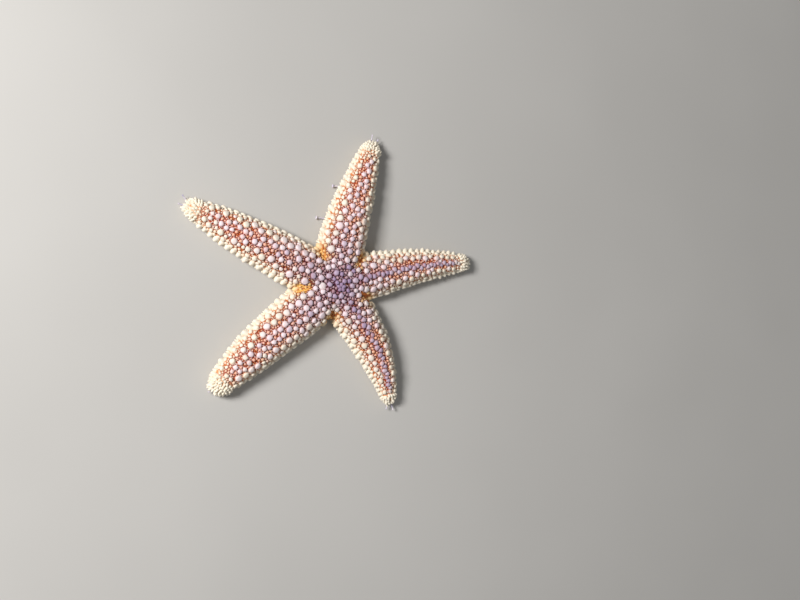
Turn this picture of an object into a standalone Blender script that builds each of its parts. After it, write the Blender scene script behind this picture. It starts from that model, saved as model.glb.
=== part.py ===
"""Common starfish at life size, lying flat with five arms spread. +Z is up and the floor is at Z = 0."""

import math
import random
from dataclasses import dataclass

import bmesh
import bpy
from mathutils import Matrix, Vector
from mathutils.bvhtree import BVHTree

MM = 0.001
SEED = 11
UP = Vector((0, 0, 1))
DOWN = Vector((0, 0, -1))

# Where the disc's middle stands, so that the box round the whole animal is centred on the origin
DISC_X = -0.2 * MM
DISC_Y = -4.1 * MM

# Body sizes
ROOT = 12.5 * MM  # from the disc's middle to where an arm is parted from it
GAP = 0.3 * MM  # left between nodes that touch
UNDER = 1.3 * MM  # height of the flat underside over the floor
EQUATOR_SHARE = 0.30  # of the height over the underside, where an arm is widest
RIDGE_FALL = 0.75  # how slowly an arm's height falls as it narrows
SIDE_ROUND = 0.92  # powers that shape a ring: 1 is an ellipse and less is squarer
TOP_ROUND = 0.90
BELLY_ROUND = 0.45
BELLY_DROP = 0.60
TIP_LEFT = 0.25 * MM  # the last ring stops this far short of the tip
ARM_STATIONS = 10  # rings along an arm
STUB_STATIONS = 3  # rings along an arm's root, which is part of the disc
STUB_START = 0.4 * MM  # from the disc's middle
CREASE = 50.0  # degrees between two faces, from which their edge stays sharp
RING_ANGLES = (-64, -22, 0, 26, 51, 77, 103, 129, 154, 180, 202, 244)  # degrees round a ring
DOME_RADIUS = 11.5 * MM
DOME_HEIGHT = 9.4 * MM
DOME_SIDES = 20
DOME_RINGS = 8

# The groove under each arm, its tube feet and the mouth
GROOVE_SHARE = 0.30  # of the arm's half width
GROOVE_POINTS = 8
GROOVE_START = 0.5 * MM  # from the disc's middle
GROOVE_END = 3.2 * MM  # the groove stops this far short of the tip
OVERRUN = 2.0 * MM  # how far a groove's cutter runs past the parting face
FOOT_FIRST = 5.2 * MM  # from the disc's middle
FOOT_LAST = 4.4 * MM  # short of the tip
FOOT_STEP = 2.2 * MM  # between one foot and the next, which stand left and right by turns
FOOT_SPIN = 0.3  # turn of each foot about itself from the one before, in radians
FOOT_STALK = 0.34 * MM
FOOT_SUCKER = 0.55 * MM
FOOT_SIDES = 5
FOOT_SINK = 0.5 * MM  # how far its root goes into the groove's roof
FOOT_SPREAD = 0.42  # how far a foot stands from the groove's middle line, of the groove's radius
MOUTH_RADIUS = 3.6 * MM
MOUTH_DEPTH = 2.6 * MM
MOUTH_SIDES = 15
LIP_RADIUS = 1.9 * MM  # of the ring of soft skin round the mouth
LIP_THICK = 0.65 * MM
LIP_SIDES = 6  # round the ring's own section

# The sieve plate between arm_1 and arm_5
SIEVE_HEADING = 185.0
SIEVE_DISTANCE = 5.9 * MM
SIEVE_RADIUS = 1.35 * MM
SIEVE_THICK = 1.1 * MM
SIEVE_PROUD = 0.55 * MM
SIEVE_SIDES = 14
SIEVE_TOP = 0.72  # its top as a share of its radius
POCKET_RISE = 3.0 * MM

# Eyespots at the outer end of each groove
EYE_RADIUS = 0.42 * MM
EYE_BACK = 1.9 * MM  # from the tip
EYE_RISE = 0.05 * MM  # over the underside
EYE_SIDES = 8
EYE_RINGS = 5

# Spines
SPINE_SINK = 0.8 * MM  # how deep a spine's root goes into the flesh
SPINE_CLEAR = 0.35 * MM  # left between a spine's root and a parting face
SPINE_LEAST = 0.62  # a spine at the tip as a share of one where the arm is widest
SPINE_JITTER = 0.12  # share by which place and size vary
SPINE_STRAY = 3.0  # degrees by which a spine stands off its row, at most
SPINE_TIP_CLEAR = 0.325 * MM  # from the last spine's middle, less half its radius, to the tip
DISC_SPINE = 0.78 * MM  # radius of a spine on the disc
DISC_SPINE_HEIGHT = 1.0 * MM
DISC_SPREAD = 1.72 * MM  # sets how far apart they stand
DISC_REACH = 15.0 * MM
DISC_STEEPEST = 0.25  # a spine's direction rises at least this much
DISC_START = 0.3  # share of a step from the disc's middle to the first spine
DISC_TURN = math.pi * (3 - math.sqrt(5))  # from one spine to the next, round the disc's middle
ARM_MARGIN = 2.0 * MM  # beside an arm's root, kept clear of the disc's spines
SKY = 20.0 * MM  # clear over the animal


@dataclass
class Arm:
    """One arm's named sizes. Lengths are in metres and angles in degrees."""

    heading: float  # of its root, turning left from +X
    length: float  # from the disc's middle to the tip of the flesh
    bend_in: float  # turn to the left over the inner half
    bend_out: float  # turn to the left over the outer half
    half_width: float
    height: float
    taper: float  # share of the width lost at the tip
    hold: float  # how long the arm holds its width: higher tapers later
    blunt: float  # length of the rounded end


@dataclass
class Row:
    """A pair of rows of spines along an arm, or the one row on its ridge."""

    angle: float  # up from the arm's side, in degrees: 90 is the ridge
    step: float  # from one spine to the next where the arm is widest
    start: float  # where the row begins, as a share of a step
    radius: float
    tip_share: float  # radius at the tip as a share of that at the root
    height: float
    sides: int
    outward: float  # share by which a spine leans from the skin's own direction to level


@dataclass
class Feeler:
    """A long tube foot that reaches out past an arm's edge or tip."""

    arm: str
    distance: float  # along the arm, from the disc's middle, to its root
    side: float  # turn of its direction from the arm's, in degrees to the left
    length: float
    drop: float  # how far its end lies below its root
    sucker: float  # radius of its end


ARMS = {
    "arm_1": Arm(153.0, 55.8 * MM, 0.0, 0.0, 6.9 * MM, 8.8 * MM, 0.70, 2.9, 3.4 * MM),
    "arm_2": Arm(81.0, 50.6 * MM, -10.0, -2.0, 7.5 * MM, 9.0 * MM, 0.70, 2.1, 3.0 * MM),
    "arm_3": Arm(14.5, 51.6 * MM, -4.0, -10.0, 7.3 * MM, 8.8 * MM, 0.74, 1.6, 2.8 * MM),
    "arm_4": Arm(-51.5, 45.8 * MM, -8.0, -20.0, 6.8 * MM, 8.6 * MM, 0.78, 2.3, 2.6 * MM),
    "arm_5": Arm(218.0, 53.2 * MM, 0.0, 8.0, 7.2 * MM, 8.8 * MM, 0.60, 2.9, 4.0 * MM),
}

ROWS = (
    Row(90, 3.4 * MM, 0.0, 0.82 * MM, 0.62, 1.05 * MM, 5, 0.0),
    Row(64, 4.4 * MM, 0.5, 0.78 * MM, 0.62, 1.00 * MM, 5, 0.0),
    Row(39, 4.6 * MM, 0.0, 0.74 * MM, 0.60, 1.05 * MM, 5, 0.1),
    Row(13, 3.6 * MM, 0.5, 0.60 * MM, 0.50, 1.45 * MM, 4, 0.5),
    Row(-34, 4.8 * MM, 0.0, 0.55 * MM, 0.50, 1.55 * MM, 4, 0.9),
)

FEELERS = (
    Feeler("arm_2", 18.4 * MM, 84.0, 11.6 * MM, 1.2 * MM, 0.55 * MM),
    Feeler("arm_2", 31.4 * MM, 86.0, 9.8 * MM, 1.2 * MM, 0.55 * MM),
    Feeler("arm_1", 53.5 * MM, -24.0, 5.0 * MM, -0.6 * MM, 0.30 * MM),
    Feeler("arm_1", 53.5 * MM, 10.0, 4.4 * MM, 0.2 * MM, 0.30 * MM),
    Feeler("arm_2", 48.5 * MM, 16.0, 4.8 * MM, -0.8 * MM, 0.30 * MM),
    Feeler("arm_2", 48.5 * MM, -18.0, 4.4 * MM, 0.0 * MM, 0.30 * MM),
    Feeler("arm_3", 49.5 * MM, 8.0, 3.6 * MM, 0.4 * MM, 0.30 * MM),
    Feeler("arm_4", 43.8 * MM, 12.0, 5.0 * MM, 0.4 * MM, 0.30 * MM),
    Feeler("arm_4", 43.8 * MM, -16.0, 4.2 * MM, 0.6 * MM, 0.30 * MM),
    Feeler("arm_5", 51.0 * MM, -10.0, 3.6 * MM, 0.4 * MM, 0.30 * MM),
)
FEELER_RADIUS = 0.27 * MM
FEELER_SIDES = 5
FEELER_RISE = 0.75 * MM  # of its root over the underside
SUCKER_SIDES = 6
SUCKER_NECK = 0.5  # a stretched foot's sucker where it leaves the stalk, as a share of its radius
SUCKER_BACK = 0.8  # how far the sucker reaches back along the stalk, as a share of its radius
SUCKER_PAST = 0.15 * MM  # and how far past the stalk's end


def start_scene():
    """Empties the scene and makes one collection for the parts and one for the cutters."""
    for obj in list(bpy.data.objects):
        bpy.data.objects.remove(obj)
    made = []
    for name in ("starfish", "cutters"):
        made.append(bpy.data.collections.new(name))
        bpy.context.scene.collection.children.link(made[-1])
    return made


def material(name, colour, roughness):
    """A plain Principled material."""
    made = bpy.data.materials.new(name)
    made.use_nodes = True
    shader = made.node_tree.nodes["Principled BSDF"]
    shader.inputs["Base Color"].default_value = (*colour, 1.0)
    shader.inputs["Roughness"].default_value = roughness
    shader.inputs["Metallic"].default_value = 0.0
    return made


def arc(x, y, heading, turn, length, distance):
    """The point and heading after a distance along an arc that turns by so much over its length."""
    rate = turn / length
    if abs(rate) < 1e-6:
        return x + distance * math.cos(heading), y + distance * math.sin(heading), heading
    end = heading + rate * distance
    x += (math.sin(end) - math.sin(heading)) / rate
    y -= (math.cos(end) - math.cos(heading)) / rate
    return x, y, end


def along(arm, distance):
    """The point and heading of an arm's middle line at a distance from the disc's middle."""
    half = arm.length / 2
    inner = min(distance, half)
    x, y, heading = arc(
        DISC_X, DISC_Y, math.radians(arm.heading), math.radians(arm.bend_in), half, inner
    )
    if distance > half:
        x, y, heading = arc(x, y, heading, math.radians(arm.bend_out), half, distance - half)
    return x, y, heading


def half_width(arm, distance):
    """Half the arm's width: a slow taper that ends in a round tip."""
    share = distance / arm.length
    width = arm.half_width * (1 - arm.taper * share**arm.hold)
    past = distance - (arm.length - arm.blunt)
    if past > 0:
        width *= math.sqrt(max(0.0, 1 - (past / arm.blunt) ** 2))
    return width


def skin_point(arm, distance, angle):
    """A point on the skin. The angle runs from the right side at 0 over the ridge at 90 to the left side."""
    x, y, heading = along(arm, distance)
    narrow = half_width(arm, distance) / arm.half_width
    height = (arm.height - UNDER) * narrow**RIDGE_FALL
    across = math.cos(math.radians(angle))
    rise = math.sin(math.radians(angle))
    equator = UNDER + EQUATOR_SHARE * height
    power = SIDE_ROUND if rise >= 0 else BELLY_ROUND
    side = half_width(arm, distance) * math.copysign(abs(across) ** power, across)
    if rise >= 0:
        z = equator + height * (1 - EQUATOR_SHARE) * rise**TOP_ROUND
    else:
        z = equator - (equator - UNDER) * abs(rise) ** BELLY_DROP
    return Vector((x + side * math.sin(heading), y - side * math.cos(heading), z))


def skin_normal(arm, distance, angle):
    """The direction straight out of the skin."""
    step = 0.2 * MM
    ahead = skin_point(arm, distance + step, angle) - skin_point(arm, distance - step, angle)
    around = skin_point(arm, distance, angle + 2) - skin_point(arm, distance, angle - 2)
    return ahead.cross(around).normalized()


def object_from(bm, name, collection):
    """A mesh object in a collection, from a bmesh whose faces are turned to point out."""
    bmesh.ops.recalc_face_normals(bm, faces=bm.faces)
    mesh = bpy.data.meshes.new(name)
    bm.to_mesh(mesh)
    bm.free()
    obj = bpy.data.objects.new(name, mesh)
    collection.objects.link(obj)
    return obj


def arm_skin(arm, name, start, end, stations, collection):
    """A closed loft through the arm's rings from start to end, closer together towards the end."""
    bm = bmesh.new()
    rings = []
    for number in range(stations):
        share = number / (stations - 1)
        distance = start + (end - start) * math.sin(share * math.pi / 2)
        rings.append([bm.verts.new(skin_point(arm, distance, angle)) for angle in RING_ANGLES])
    for near, far in zip(rings, rings[1:]):
        for k in range(len(near)):
            after = (k + 1) % len(near)
            bm.faces.new((near[k], near[after], far[after], far[k]))
    bm.faces.new(rings[0])
    bm.faces.new(rings[-1])
    return object_from(bm, name, collection)


def groove_cutter(arm, name, start, end, collection):
    """A tapered rod along the underside, whose upper half cuts the groove."""
    curve = bpy.data.curves.new(name, "CURVE")
    curve.dimensions = "3D"
    curve.bevel_depth = MM
    curve.bevel_resolution = 2
    curve.use_fill_caps = True
    spline = curve.splines.new("POLY")
    spline.points.add(GROOVE_POINTS - 1)
    for number, point in enumerate(spline.points):
        distance = start + (end - start) * number / (GROOVE_POINTS - 1)
        x, y, _ = along(arm, distance)
        point.co = (x, y, UNDER, 1.0)
        point.radius = GROOVE_SHARE * half_width(arm, distance) / MM
    return mesh_of(bpy.data.objects.new(name, curve), collection)


def mesh_of(obj, collection):
    """Turns an object into a plain mesh object with all its modifiers applied and its caps welded."""
    if not obj.users_collection:
        collection.objects.link(obj)
    bpy.context.view_layer.update()
    graph = bpy.context.evaluated_depsgraph_get()
    mesh = bpy.data.meshes.new_from_object(obj.evaluated_get(graph))
    bm = bmesh.new()
    bm.from_mesh(mesh)
    bmesh.ops.remove_doubles(bm, verts=bm.verts, dist=0.001 * MM)
    bm.to_mesh(mesh)
    bm.free()
    name = obj.name
    world = obj.matrix_world.copy()
    bpy.data.objects.remove(obj)
    made = bpy.data.objects.new(name, mesh)
    made.matrix_world = world
    collection.objects.link(made)
    return made


def cone(name, root, direction, low, high, radius, tip_radius, sides, collection, spin=0.0):
    """A closed cone or rod along a direction, from low to high past its root, turned about itself."""
    bm = bmesh.new()
    turn = direction.to_track_quat("Z", "Y").to_matrix().to_4x4() @ Matrix.Rotation(spin, 4, "Z")
    bmesh.ops.create_cone(
        bm,
        cap_ends=True,
        segments=sides,
        radius1=radius,
        radius2=tip_radius,
        depth=high - low,
        matrix=Matrix.Translation(root + direction * (low + high) / 2) @ turn,
    )
    return object_from(bm, name, collection)


def dome(name, collection):
    """The disc's rounded top, as half of a flattened ball on a flat base."""
    bm = bmesh.new()
    bmesh.ops.create_uvsphere(bm, u_segments=DOME_SIDES, v_segments=DOME_RINGS, radius=1.0)
    bmesh.ops.bisect_plane(
        bm,
        geom=bm.verts[:] + bm.edges[:] + bm.faces[:],
        plane_co=(0, 0, 0),
        plane_no=(0, 0, -1),
        clear_outer=True,
    )
    bmesh.ops.contextual_create(bm, geom=[e for e in bm.edges if e.is_boundary])
    bmesh.ops.scale(bm, vec=(DOME_RADIUS, DOME_RADIUS, DOME_HEIGHT - UNDER), verts=bm.verts)
    bmesh.ops.translate(bm, vec=(DISC_X, DISC_Y, UNDER), verts=bm.verts)
    return object_from(bm, name, collection)


def dome_point(heading, distance):
    """A point on the dome and the direction straight out of it, at a distance from the disc's middle."""
    tall = DOME_HEIGHT - UNDER
    out = Vector((math.cos(math.radians(heading)), math.sin(math.radians(heading)), 0))
    rise = math.sqrt(1 - (distance / DOME_RADIUS) ** 2)
    point = Vector((DISC_X, DISC_Y, UNDER + tall * rise)) + out * distance
    normal = out * distance / DOME_RADIUS**2 + UP * rise / tall
    return point, normal.normalized()


def combine(base, pieces, operation, cutters):
    """Adds one Boolean of a collection of pieces to a base object, applies it and removes the pieces."""
    group = bpy.data.collections.new(f"{base.name}_{operation.lower()}")
    cutters.children.link(group)
    for piece in pieces:
        for owner in list(piece.users_collection):
            owner.objects.unlink(piece)
        group.objects.link(piece)
    boolean = base.modifiers.new(operation.lower(), "BOOLEAN")
    boolean.operation = operation
    boolean.operand_type = "COLLECTION"
    boolean.collection = group
    whole = keep_largest(mesh_of(base, base.users_collection[0]))
    for piece in list(group.objects):
        bpy.data.objects.remove(piece)
    bpy.data.collections.remove(group)
    return whole


def keep_largest(obj):
    """Leaves only the largest closed surface of a mesh."""
    bm = bmesh.new()
    bm.from_mesh(obj.data)
    left = set(bm.faces)
    groups = []
    while left:
        group = [left.pop()]
        for face in group:
            for edge in face.edges:
                near = [other for other in edge.link_faces if other in left]
                left.difference_update(near)
                group.extend(near)
        groups.append(group)
    groups.sort(key=len)
    loose = [face for group in groups[:-1] for face in group]
    bmesh.ops.delete(bm, geom=loose, context="FACES")
    bm.to_mesh(obj.data)
    bm.free()
    return obj


def finish(obj, paint):
    """Gives a piece its material and smooth shading with sharp creases kept."""
    obj.data.materials.clear()
    obj.data.materials.append(paint)
    obj.data.shade_smooth()
    obj.data.set_sharp_from_angle(angle=math.radians(CREASE))


def spine(name, point, out, radius, tip_share, height, sides, draw, cutters):
    """A blunt spine on the skin, varied a little in size, lean and turn."""
    grown = 1 + draw.uniform(-SPINE_JITTER, SPINE_JITTER)
    lean = Vector([draw.uniform(-SPINE_JITTER, SPINE_JITTER) for _ in range(3)])
    wide = radius * grown
    tip = wide * tip_share
    foot = wide + (wide - tip) * SPINE_SINK / height
    return cone(
        name, point, (out + lean).normalized(), -SPINE_SINK, height * grown,
        foot, tip, sides, cutters, draw.uniform(0, math.pi),
    )


def arm_spines(arm, name, draw, cutters):
    """Rows of spines along an arm, closer and smaller as it narrows, with a crown at its tip."""
    made = []
    for row in ROWS:
        for angle in sorted({row.angle, 180 - row.angle}):
            first = ROOT + GAP / 2 + SPINE_CLEAR + row.radius
            distance = first + row.start * row.step
            while distance < arm.length - SPINE_TIP_CLEAR - row.radius / 2:
                narrow = half_width(arm, distance) / arm.half_width
                size = SPINE_LEAST + (1 - SPINE_LEAST) * narrow
                turn = angle + draw.uniform(-SPINE_STRAY, SPINE_STRAY)
                out = skin_normal(arm, distance, turn)
                level = Vector((out.x, out.y, 0)).normalized()
                out = (out * (1 - row.outward) + level * row.outward).normalized()
                made.append(
                    spine(
                        f"{name}_spine", skin_point(arm, distance, turn), out, row.radius * size,
                        row.tip_share, row.height * size, row.sides, draw, cutters,
                    )
                )
                distance += row.step * size * (1 + draw.uniform(-SPINE_JITTER, SPINE_JITTER))
    return made


def feet(arm, name, start, end, cutters):
    """Tube feet down to the floor from inside the groove, left and right by turns."""
    made = []
    for number in range(int((end - start) / FOOT_STEP) + 1):
        distance = start + number * FOOT_STEP
        x, y, heading = along(arm, distance)
        groove = GROOVE_SHARE * half_width(arm, distance)
        side = FOOT_SPREAD * groove * (1 if number % 2 else -1)
        root = Vector((x + side * math.sin(heading), y - side * math.cos(heading), 0))
        made.append(
            cone(
                f"{name}_foot", root, UP, 0, UNDER + groove + FOOT_SINK,
                FOOT_SUCKER, FOOT_STALK, FOOT_SIDES, cutters, heading + FOOT_SPIN * number,
            )
        )
    return made


def feelers(name, cutters):
    """The long tube feet that reach past an arm's edge and tip, each with a small sucker."""
    made = []
    for feeler in FEELERS:
        if feeler.arm != name:
            continue
        x, y, heading = along(ARMS[name], feeler.distance)
        turn = heading + math.radians(feeler.side)
        root = Vector((x, y, UNDER + FEELER_RISE))
        end = root + Vector((math.cos(turn), math.sin(turn), 0)) * feeler.length
        end.z -= feeler.drop
        out = (end - root).normalized()
        reach = (end - root).length
        made.append(
            cone(
                f"{name}_feeler", root, out, 0, reach,
                FEELER_RADIUS, FEELER_RADIUS, FEELER_SIDES, cutters,
            )
        )
        made.append(
            cone(
                f"{name}_sucker", end, out, -SUCKER_BACK * feeler.sucker, SUCKER_PAST,
                SUCKER_NECK * feeler.sucker, feeler.sucker, SUCKER_SIDES, cutters,
            )
        )
    return made


def make_eye(arm, name, parts, cutters, paint):
    """The eyespot half sunk in the underside near an arm's tip, and the cutter of its socket."""
    x, y, _ = along(arm, arm.length - EYE_BACK)
    middle = Vector((x, y, UNDER + EYE_RISE))
    made = []
    for label, radius, home in (("eye", EYE_RADIUS, parts), ("socket", EYE_RADIUS + GAP, cutters)):
        bm = bmesh.new()
        bmesh.ops.create_uvsphere(
            bm,
            u_segments=EYE_SIDES,
            v_segments=EYE_RINGS,
            radius=radius,
            matrix=Matrix.Translation(middle),
        )
        made.append(object_from(bm, f"{label}_{name[-1]}", home))
    finish(made[0], paint)
    return made[1]


def make_arm(name, arm, parts, cutters, paints):
    """One arm: its flesh, groove, spines, tube feet and feelers, and its eyespot."""
    draw = random.Random(f"{SEED} {name}")
    body = arm_skin(arm, name, ROOT + GAP / 2, arm.length - TIP_LEFT, ARM_STATIONS, parts)
    groove = groove_cutter(arm, f"{name}_groove", ROOT - OVERRUN, arm.length - GROOVE_END, cutters)
    body = combine(body, [groove], "DIFFERENCE", cutters)
    steps = math.ceil((ROOT + FOOT_SUCKER + 2 * GAP - FOOT_FIRST) / FOOT_STEP)
    pieces = feet(arm, name, FOOT_FIRST + steps * FOOT_STEP, arm.length - FOOT_LAST, cutters)
    pieces += arm_spines(arm, name, draw, cutters)
    pieces += feelers(name, cutters)
    body = combine(body, pieces, "UNION", cutters)
    body = combine(body, [make_eye(arm, name, parts, cutters, paints["eye"])], "DIFFERENCE", cutters)
    finish(body, paints["skin"])


def make_sieve(parts, cutters, paint):
    """The madreporite, a round plate let into the disc, and the cutter of its pocket."""
    point, out = dome_point(SIEVE_HEADING, SIEVE_DISTANCE)
    low = SIEVE_PROUD - SIEVE_THICK
    plate = cone(
        "madreporite", point, out, low, SIEVE_PROUD,
        SIEVE_RADIUS, SIEVE_TOP * SIEVE_RADIUS, SIEVE_SIDES, parts,
    )
    finish(plate, paint)
    wide = SIEVE_RADIUS + GAP
    return cone("pocket", point, out, low - GAP, POCKET_RISE, wide, wide, SIEVE_SIDES, cutters)


def make_mouth(parts, paint):
    """The ring of soft skin round the mouth, under the roof of its recess."""
    bpy.ops.mesh.primitive_torus_add(
        location=(DISC_X, DISC_Y, UNDER + MOUTH_DEPTH - GAP - LIP_THICK),
        major_segments=MOUTH_SIDES,
        minor_segments=LIP_SIDES,
        major_radius=LIP_RADIUS,
        minor_radius=LIP_THICK,
    )
    ring = bpy.context.object
    ring.name = "mouth"
    for owner in list(ring.users_collection):
        owner.objects.unlink(ring)
    parts.objects.link(ring)
    finish(ring, paint)


def on_disc(point, margin):
    """Whether a point lies on the disc's side of every parting face, by at least a margin."""
    for arm in ARMS.values():
        x, y, heading = along(arm, ROOT)
        ahead = (point.x - x) * math.cos(heading) + (point.y - y) * math.sin(heading)
        aside = (point.y - y) * math.cos(heading) - (point.x - x) * math.sin(heading)
        if ahead > -margin and abs(aside) < arm.half_width + ARM_MARGIN:
            return False
    return True


def disc_spines(body, draw, cutters):
    """Spines spread evenly over the disc, clear of the sieve plate, the partings and one another."""
    tree = BVHTree.FromObject(body, bpy.context.evaluated_depsgraph_get())
    sieve, _ = dome_point(SIEVE_HEADING, SIEVE_DISTANCE)
    made = []
    number = 0
    distance = 0.0
    while distance < DISC_REACH:
        distance = DISC_SPREAD * math.sqrt(number + DISC_START)
        turn = number * DISC_TURN
        number += 1
        above = Vector((DISC_X + distance * math.cos(turn), DISC_Y + distance * math.sin(turn), SKY))
        point, normal, _, _ = tree.ray_cast(above, DOWN)
        if point is None or normal.z < DISC_STEEPEST:
            continue
        wide = DISC_SPINE * (1 + SPINE_JITTER) + SPINE_CLEAR
        if not on_disc(point, GAP / 2 + wide) or (point - sieve).length < SIEVE_RADIUS + GAP + wide:
            continue
        made.append(
            spine(
                "disc_spine", point, normal, DISC_SPINE, ROWS[0].tip_share,
                DISC_SPINE_HEIGHT, ROWS[0].sides, draw, cutters,
            )
        )
    return made


def make_disc(parts, cutters, paints):
    """The disc with the roots of the arms, the mouth's recess, the sieve plate and its own spines."""
    draw = random.Random(f"{SEED} disc")
    body = dome("disc", parts)
    stubs = [
        arm_skin(arm, f"{name}_stub", STUB_START, ROOT - GAP / 2, STUB_STATIONS, cutters)
        for name, arm in ARMS.items()
    ]
    body = combine(body, stubs, "UNION", cutters)
    pieces = disc_spines(body, draw, cutters)
    grooves = [
        groove_cutter(arm, f"{name}_groove", GROOVE_START, ROOT + OVERRUN, cutters)
        for name, arm in ARMS.items()
    ]
    recess = cone(
        "recess", Vector((DISC_X, DISC_Y, 0)), UP, -MM, UNDER + MOUTH_DEPTH,
        MOUTH_RADIUS, MOUTH_RADIUS, MOUTH_SIDES, cutters,
    )
    pocket = make_sieve(parts, cutters, paints["sieve"])
    body = combine(body, [*grooves, recess, pocket], "DIFFERENCE", cutters)
    for name, arm in ARMS.items():
        pieces += feet(arm, f"{name}_root", FOOT_FIRST, ROOT - FOOT_SUCKER - 2 * GAP, cutters)
    body = combine(body, pieces, "UNION", cutters)
    finish(body, paints["skin"])
    make_mouth(parts, paints["mouth"])


def main():
    parts, cutters = start_scene()
    paints = {
        "skin": material("skin", (0.80, 0.62, 0.52), 0.55),
        "sieve": material("madreporite", (0.88, 0.82, 0.78), 0.60),
        "mouth": material("mouth", (0.72, 0.45, 0.33), 0.45),
        "eye": material("eyespot", (0.70, 0.08, 0.05), 0.35),
    }
    make_disc(parts, cutters, paints)
    for name, arm in ARMS.items():
        make_arm(name, arm, parts, cutters, paints)


main()
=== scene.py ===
"""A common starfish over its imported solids: skin, spines, skin gills, tube feet, mouth and eyespots."""

import math
from dataclasses import dataclass
from itertools import product

import bpy
import numpy as np
from mathutils import Matrix, Vector
from mathutils.bvhtree import BVHTree
from mathutils.kdtree import KDTree


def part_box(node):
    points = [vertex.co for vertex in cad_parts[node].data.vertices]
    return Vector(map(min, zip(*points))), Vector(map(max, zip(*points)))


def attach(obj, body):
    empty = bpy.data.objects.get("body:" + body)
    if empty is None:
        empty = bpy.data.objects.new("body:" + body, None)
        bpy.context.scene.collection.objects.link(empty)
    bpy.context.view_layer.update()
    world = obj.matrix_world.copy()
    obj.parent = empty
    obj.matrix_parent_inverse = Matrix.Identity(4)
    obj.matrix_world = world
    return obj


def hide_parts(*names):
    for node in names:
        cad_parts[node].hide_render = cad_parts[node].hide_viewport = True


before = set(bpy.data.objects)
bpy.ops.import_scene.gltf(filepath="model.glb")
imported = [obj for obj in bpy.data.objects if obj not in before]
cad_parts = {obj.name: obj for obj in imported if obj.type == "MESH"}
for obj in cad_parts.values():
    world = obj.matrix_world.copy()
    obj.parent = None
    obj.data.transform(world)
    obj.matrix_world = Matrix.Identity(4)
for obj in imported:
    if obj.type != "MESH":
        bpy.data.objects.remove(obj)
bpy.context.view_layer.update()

MM = 0.001
SEED = 23

# The body's sizes, the same as in the solids
DISC_X = -0.2 * MM
DISC_Y = -4.1 * MM
UNDER = 1.3 * MM  # height of the underside over the floor
EQUATOR_SHARE = 0.30  # how far up the flesh is widest
RIDGE_FALL = 0.75  # power by which the height follows the width towards the tip
SIDE_ROUND = 0.92  # powers that round the section's sides, top and belly
TOP_ROUND = 0.90
BELLY_ROUND = 0.45
BELLY_DROP = 0.60
DOME_RADIUS = 11.5 * MM
DOME_HEIGHT = 9.4 * MM
GROOVE_SHARE = 0.30  # the groove's radius as a share of the arm's half width
GROOVE_END = 3.2 * MM
MOUTH_RADIUS = 3.6 * MM
MOUTH_DEPTH = 2.6 * MM
LEAST = 0.55  # a spine at the tip as a share of one where the arm is widest

# The skin
SKIN_INSET = 0.12 * MM  # how far it lies inside the solids
SKIN_STATIONS = 56
SKIN_SIDES = 40
SKIN_START = 0.5 * MM  # where an arm's flesh starts and how far it ends before the tip
SKIN_END = 0.15 * MM
SKIN_VOXEL = 0.4 * MM
SKIN_SMOOTHING = 5


@dataclass
class Arm:
    """One arm's named sizes. Lengths are in metres and angles in degrees."""

    heading: float
    length: float
    bend_in: float  # how far its inner and its outer half turn to the left
    bend_out: float
    half_width: float
    height: float
    taper: float  # share of its width that it loses by the tip
    hold: float  # how long it keeps its width
    blunt: float  # length of its rounded end
    zigzag: float  # how far the ridge row's spines stand left and right of the ridge by turns


ARMS = [
    Arm(153.0, 55.8 * MM, 0.0, 0.0, 6.9 * MM, 8.8 * MM, 0.70, 2.9, 3.4 * MM, 9.0),
    Arm(81.0, 50.6 * MM, -10.0, -2.0, 7.5 * MM, 9.0 * MM, 0.70, 2.1, 3.0 * MM, 9.0),
    Arm(14.5, 51.6 * MM, -4.0, -10.0, 7.3 * MM, 8.8 * MM, 0.74, 1.6, 2.8 * MM, 2.0),
    Arm(-51.5, 45.8 * MM, -8.0, -20.0, 6.8 * MM, 8.6 * MM, 0.78, 2.3, 2.6 * MM, 3.0),
    Arm(218.0, 53.2 * MM, 0.0, 8.0, 7.2 * MM, 8.8 * MM, 0.60, 2.9, 4.0 * MM, 9.0),
]
ARM_LENGTHS = np.array([arm.length for arm in ARMS])


def arc(x, y, heading, turn, length, distance):
    """The points and headings after distances along an arc that turns by so much over its length."""
    rate = turn / length
    if abs(rate) < 1e-6:
        return x + distance * np.cos(heading), y + distance * np.sin(heading), heading + 0 * distance
    end = heading + rate * distance
    x = x + (np.sin(end) - np.sin(heading)) / rate
    y = y - (np.cos(end) - np.cos(heading)) / rate
    return x, y, end


def middle_line(arm, distance):
    """Points and headings of an arm's middle line at distances from the disc's middle."""
    half = arm.length / 2
    inner = np.minimum(distance, half)
    outer = np.maximum(distance - half, 0.0)
    start = arc(DISC_X, DISC_Y, math.radians(arm.heading), math.radians(arm.bend_in), half, inner)
    return arc(*start, math.radians(arm.bend_out), half, outer)


def level(turn):
    """The level direction at an angle in radians."""
    return np.array([math.cos(turn), math.sin(turn), 0.0])


def level_frame(arm, distance):
    """The middle line's place on the floor, and the level directions ahead and to the right."""
    x, y, heading = middle_line(arm, distance)
    right = np.array([math.sin(heading), -math.cos(heading), 0.0])
    return np.array([x, y, 0.0]), level(heading), right


def ahead_at(arm, distance):
    """The arm's level forward direction there."""
    return level_frame(arm, distance)[1]


def half_width(arm, distance):
    """Half the arm's width: a slow taper that ends in a round tip."""
    share = np.clip(distance / arm.length, 0, 1)
    width = arm.half_width * (1 - arm.taper * share**arm.hold)
    past = np.maximum(distance - (arm.length - arm.blunt), 0.0)
    return width * np.sqrt(np.maximum(0.0, 1 - (past / arm.blunt) ** 2))


def beside(x, y, heading, side, z):
    """Points to the right of a line by so much, at heights."""
    return np.stack([x + side * np.sin(heading), y - side * np.cos(heading), z], axis=-1)


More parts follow.
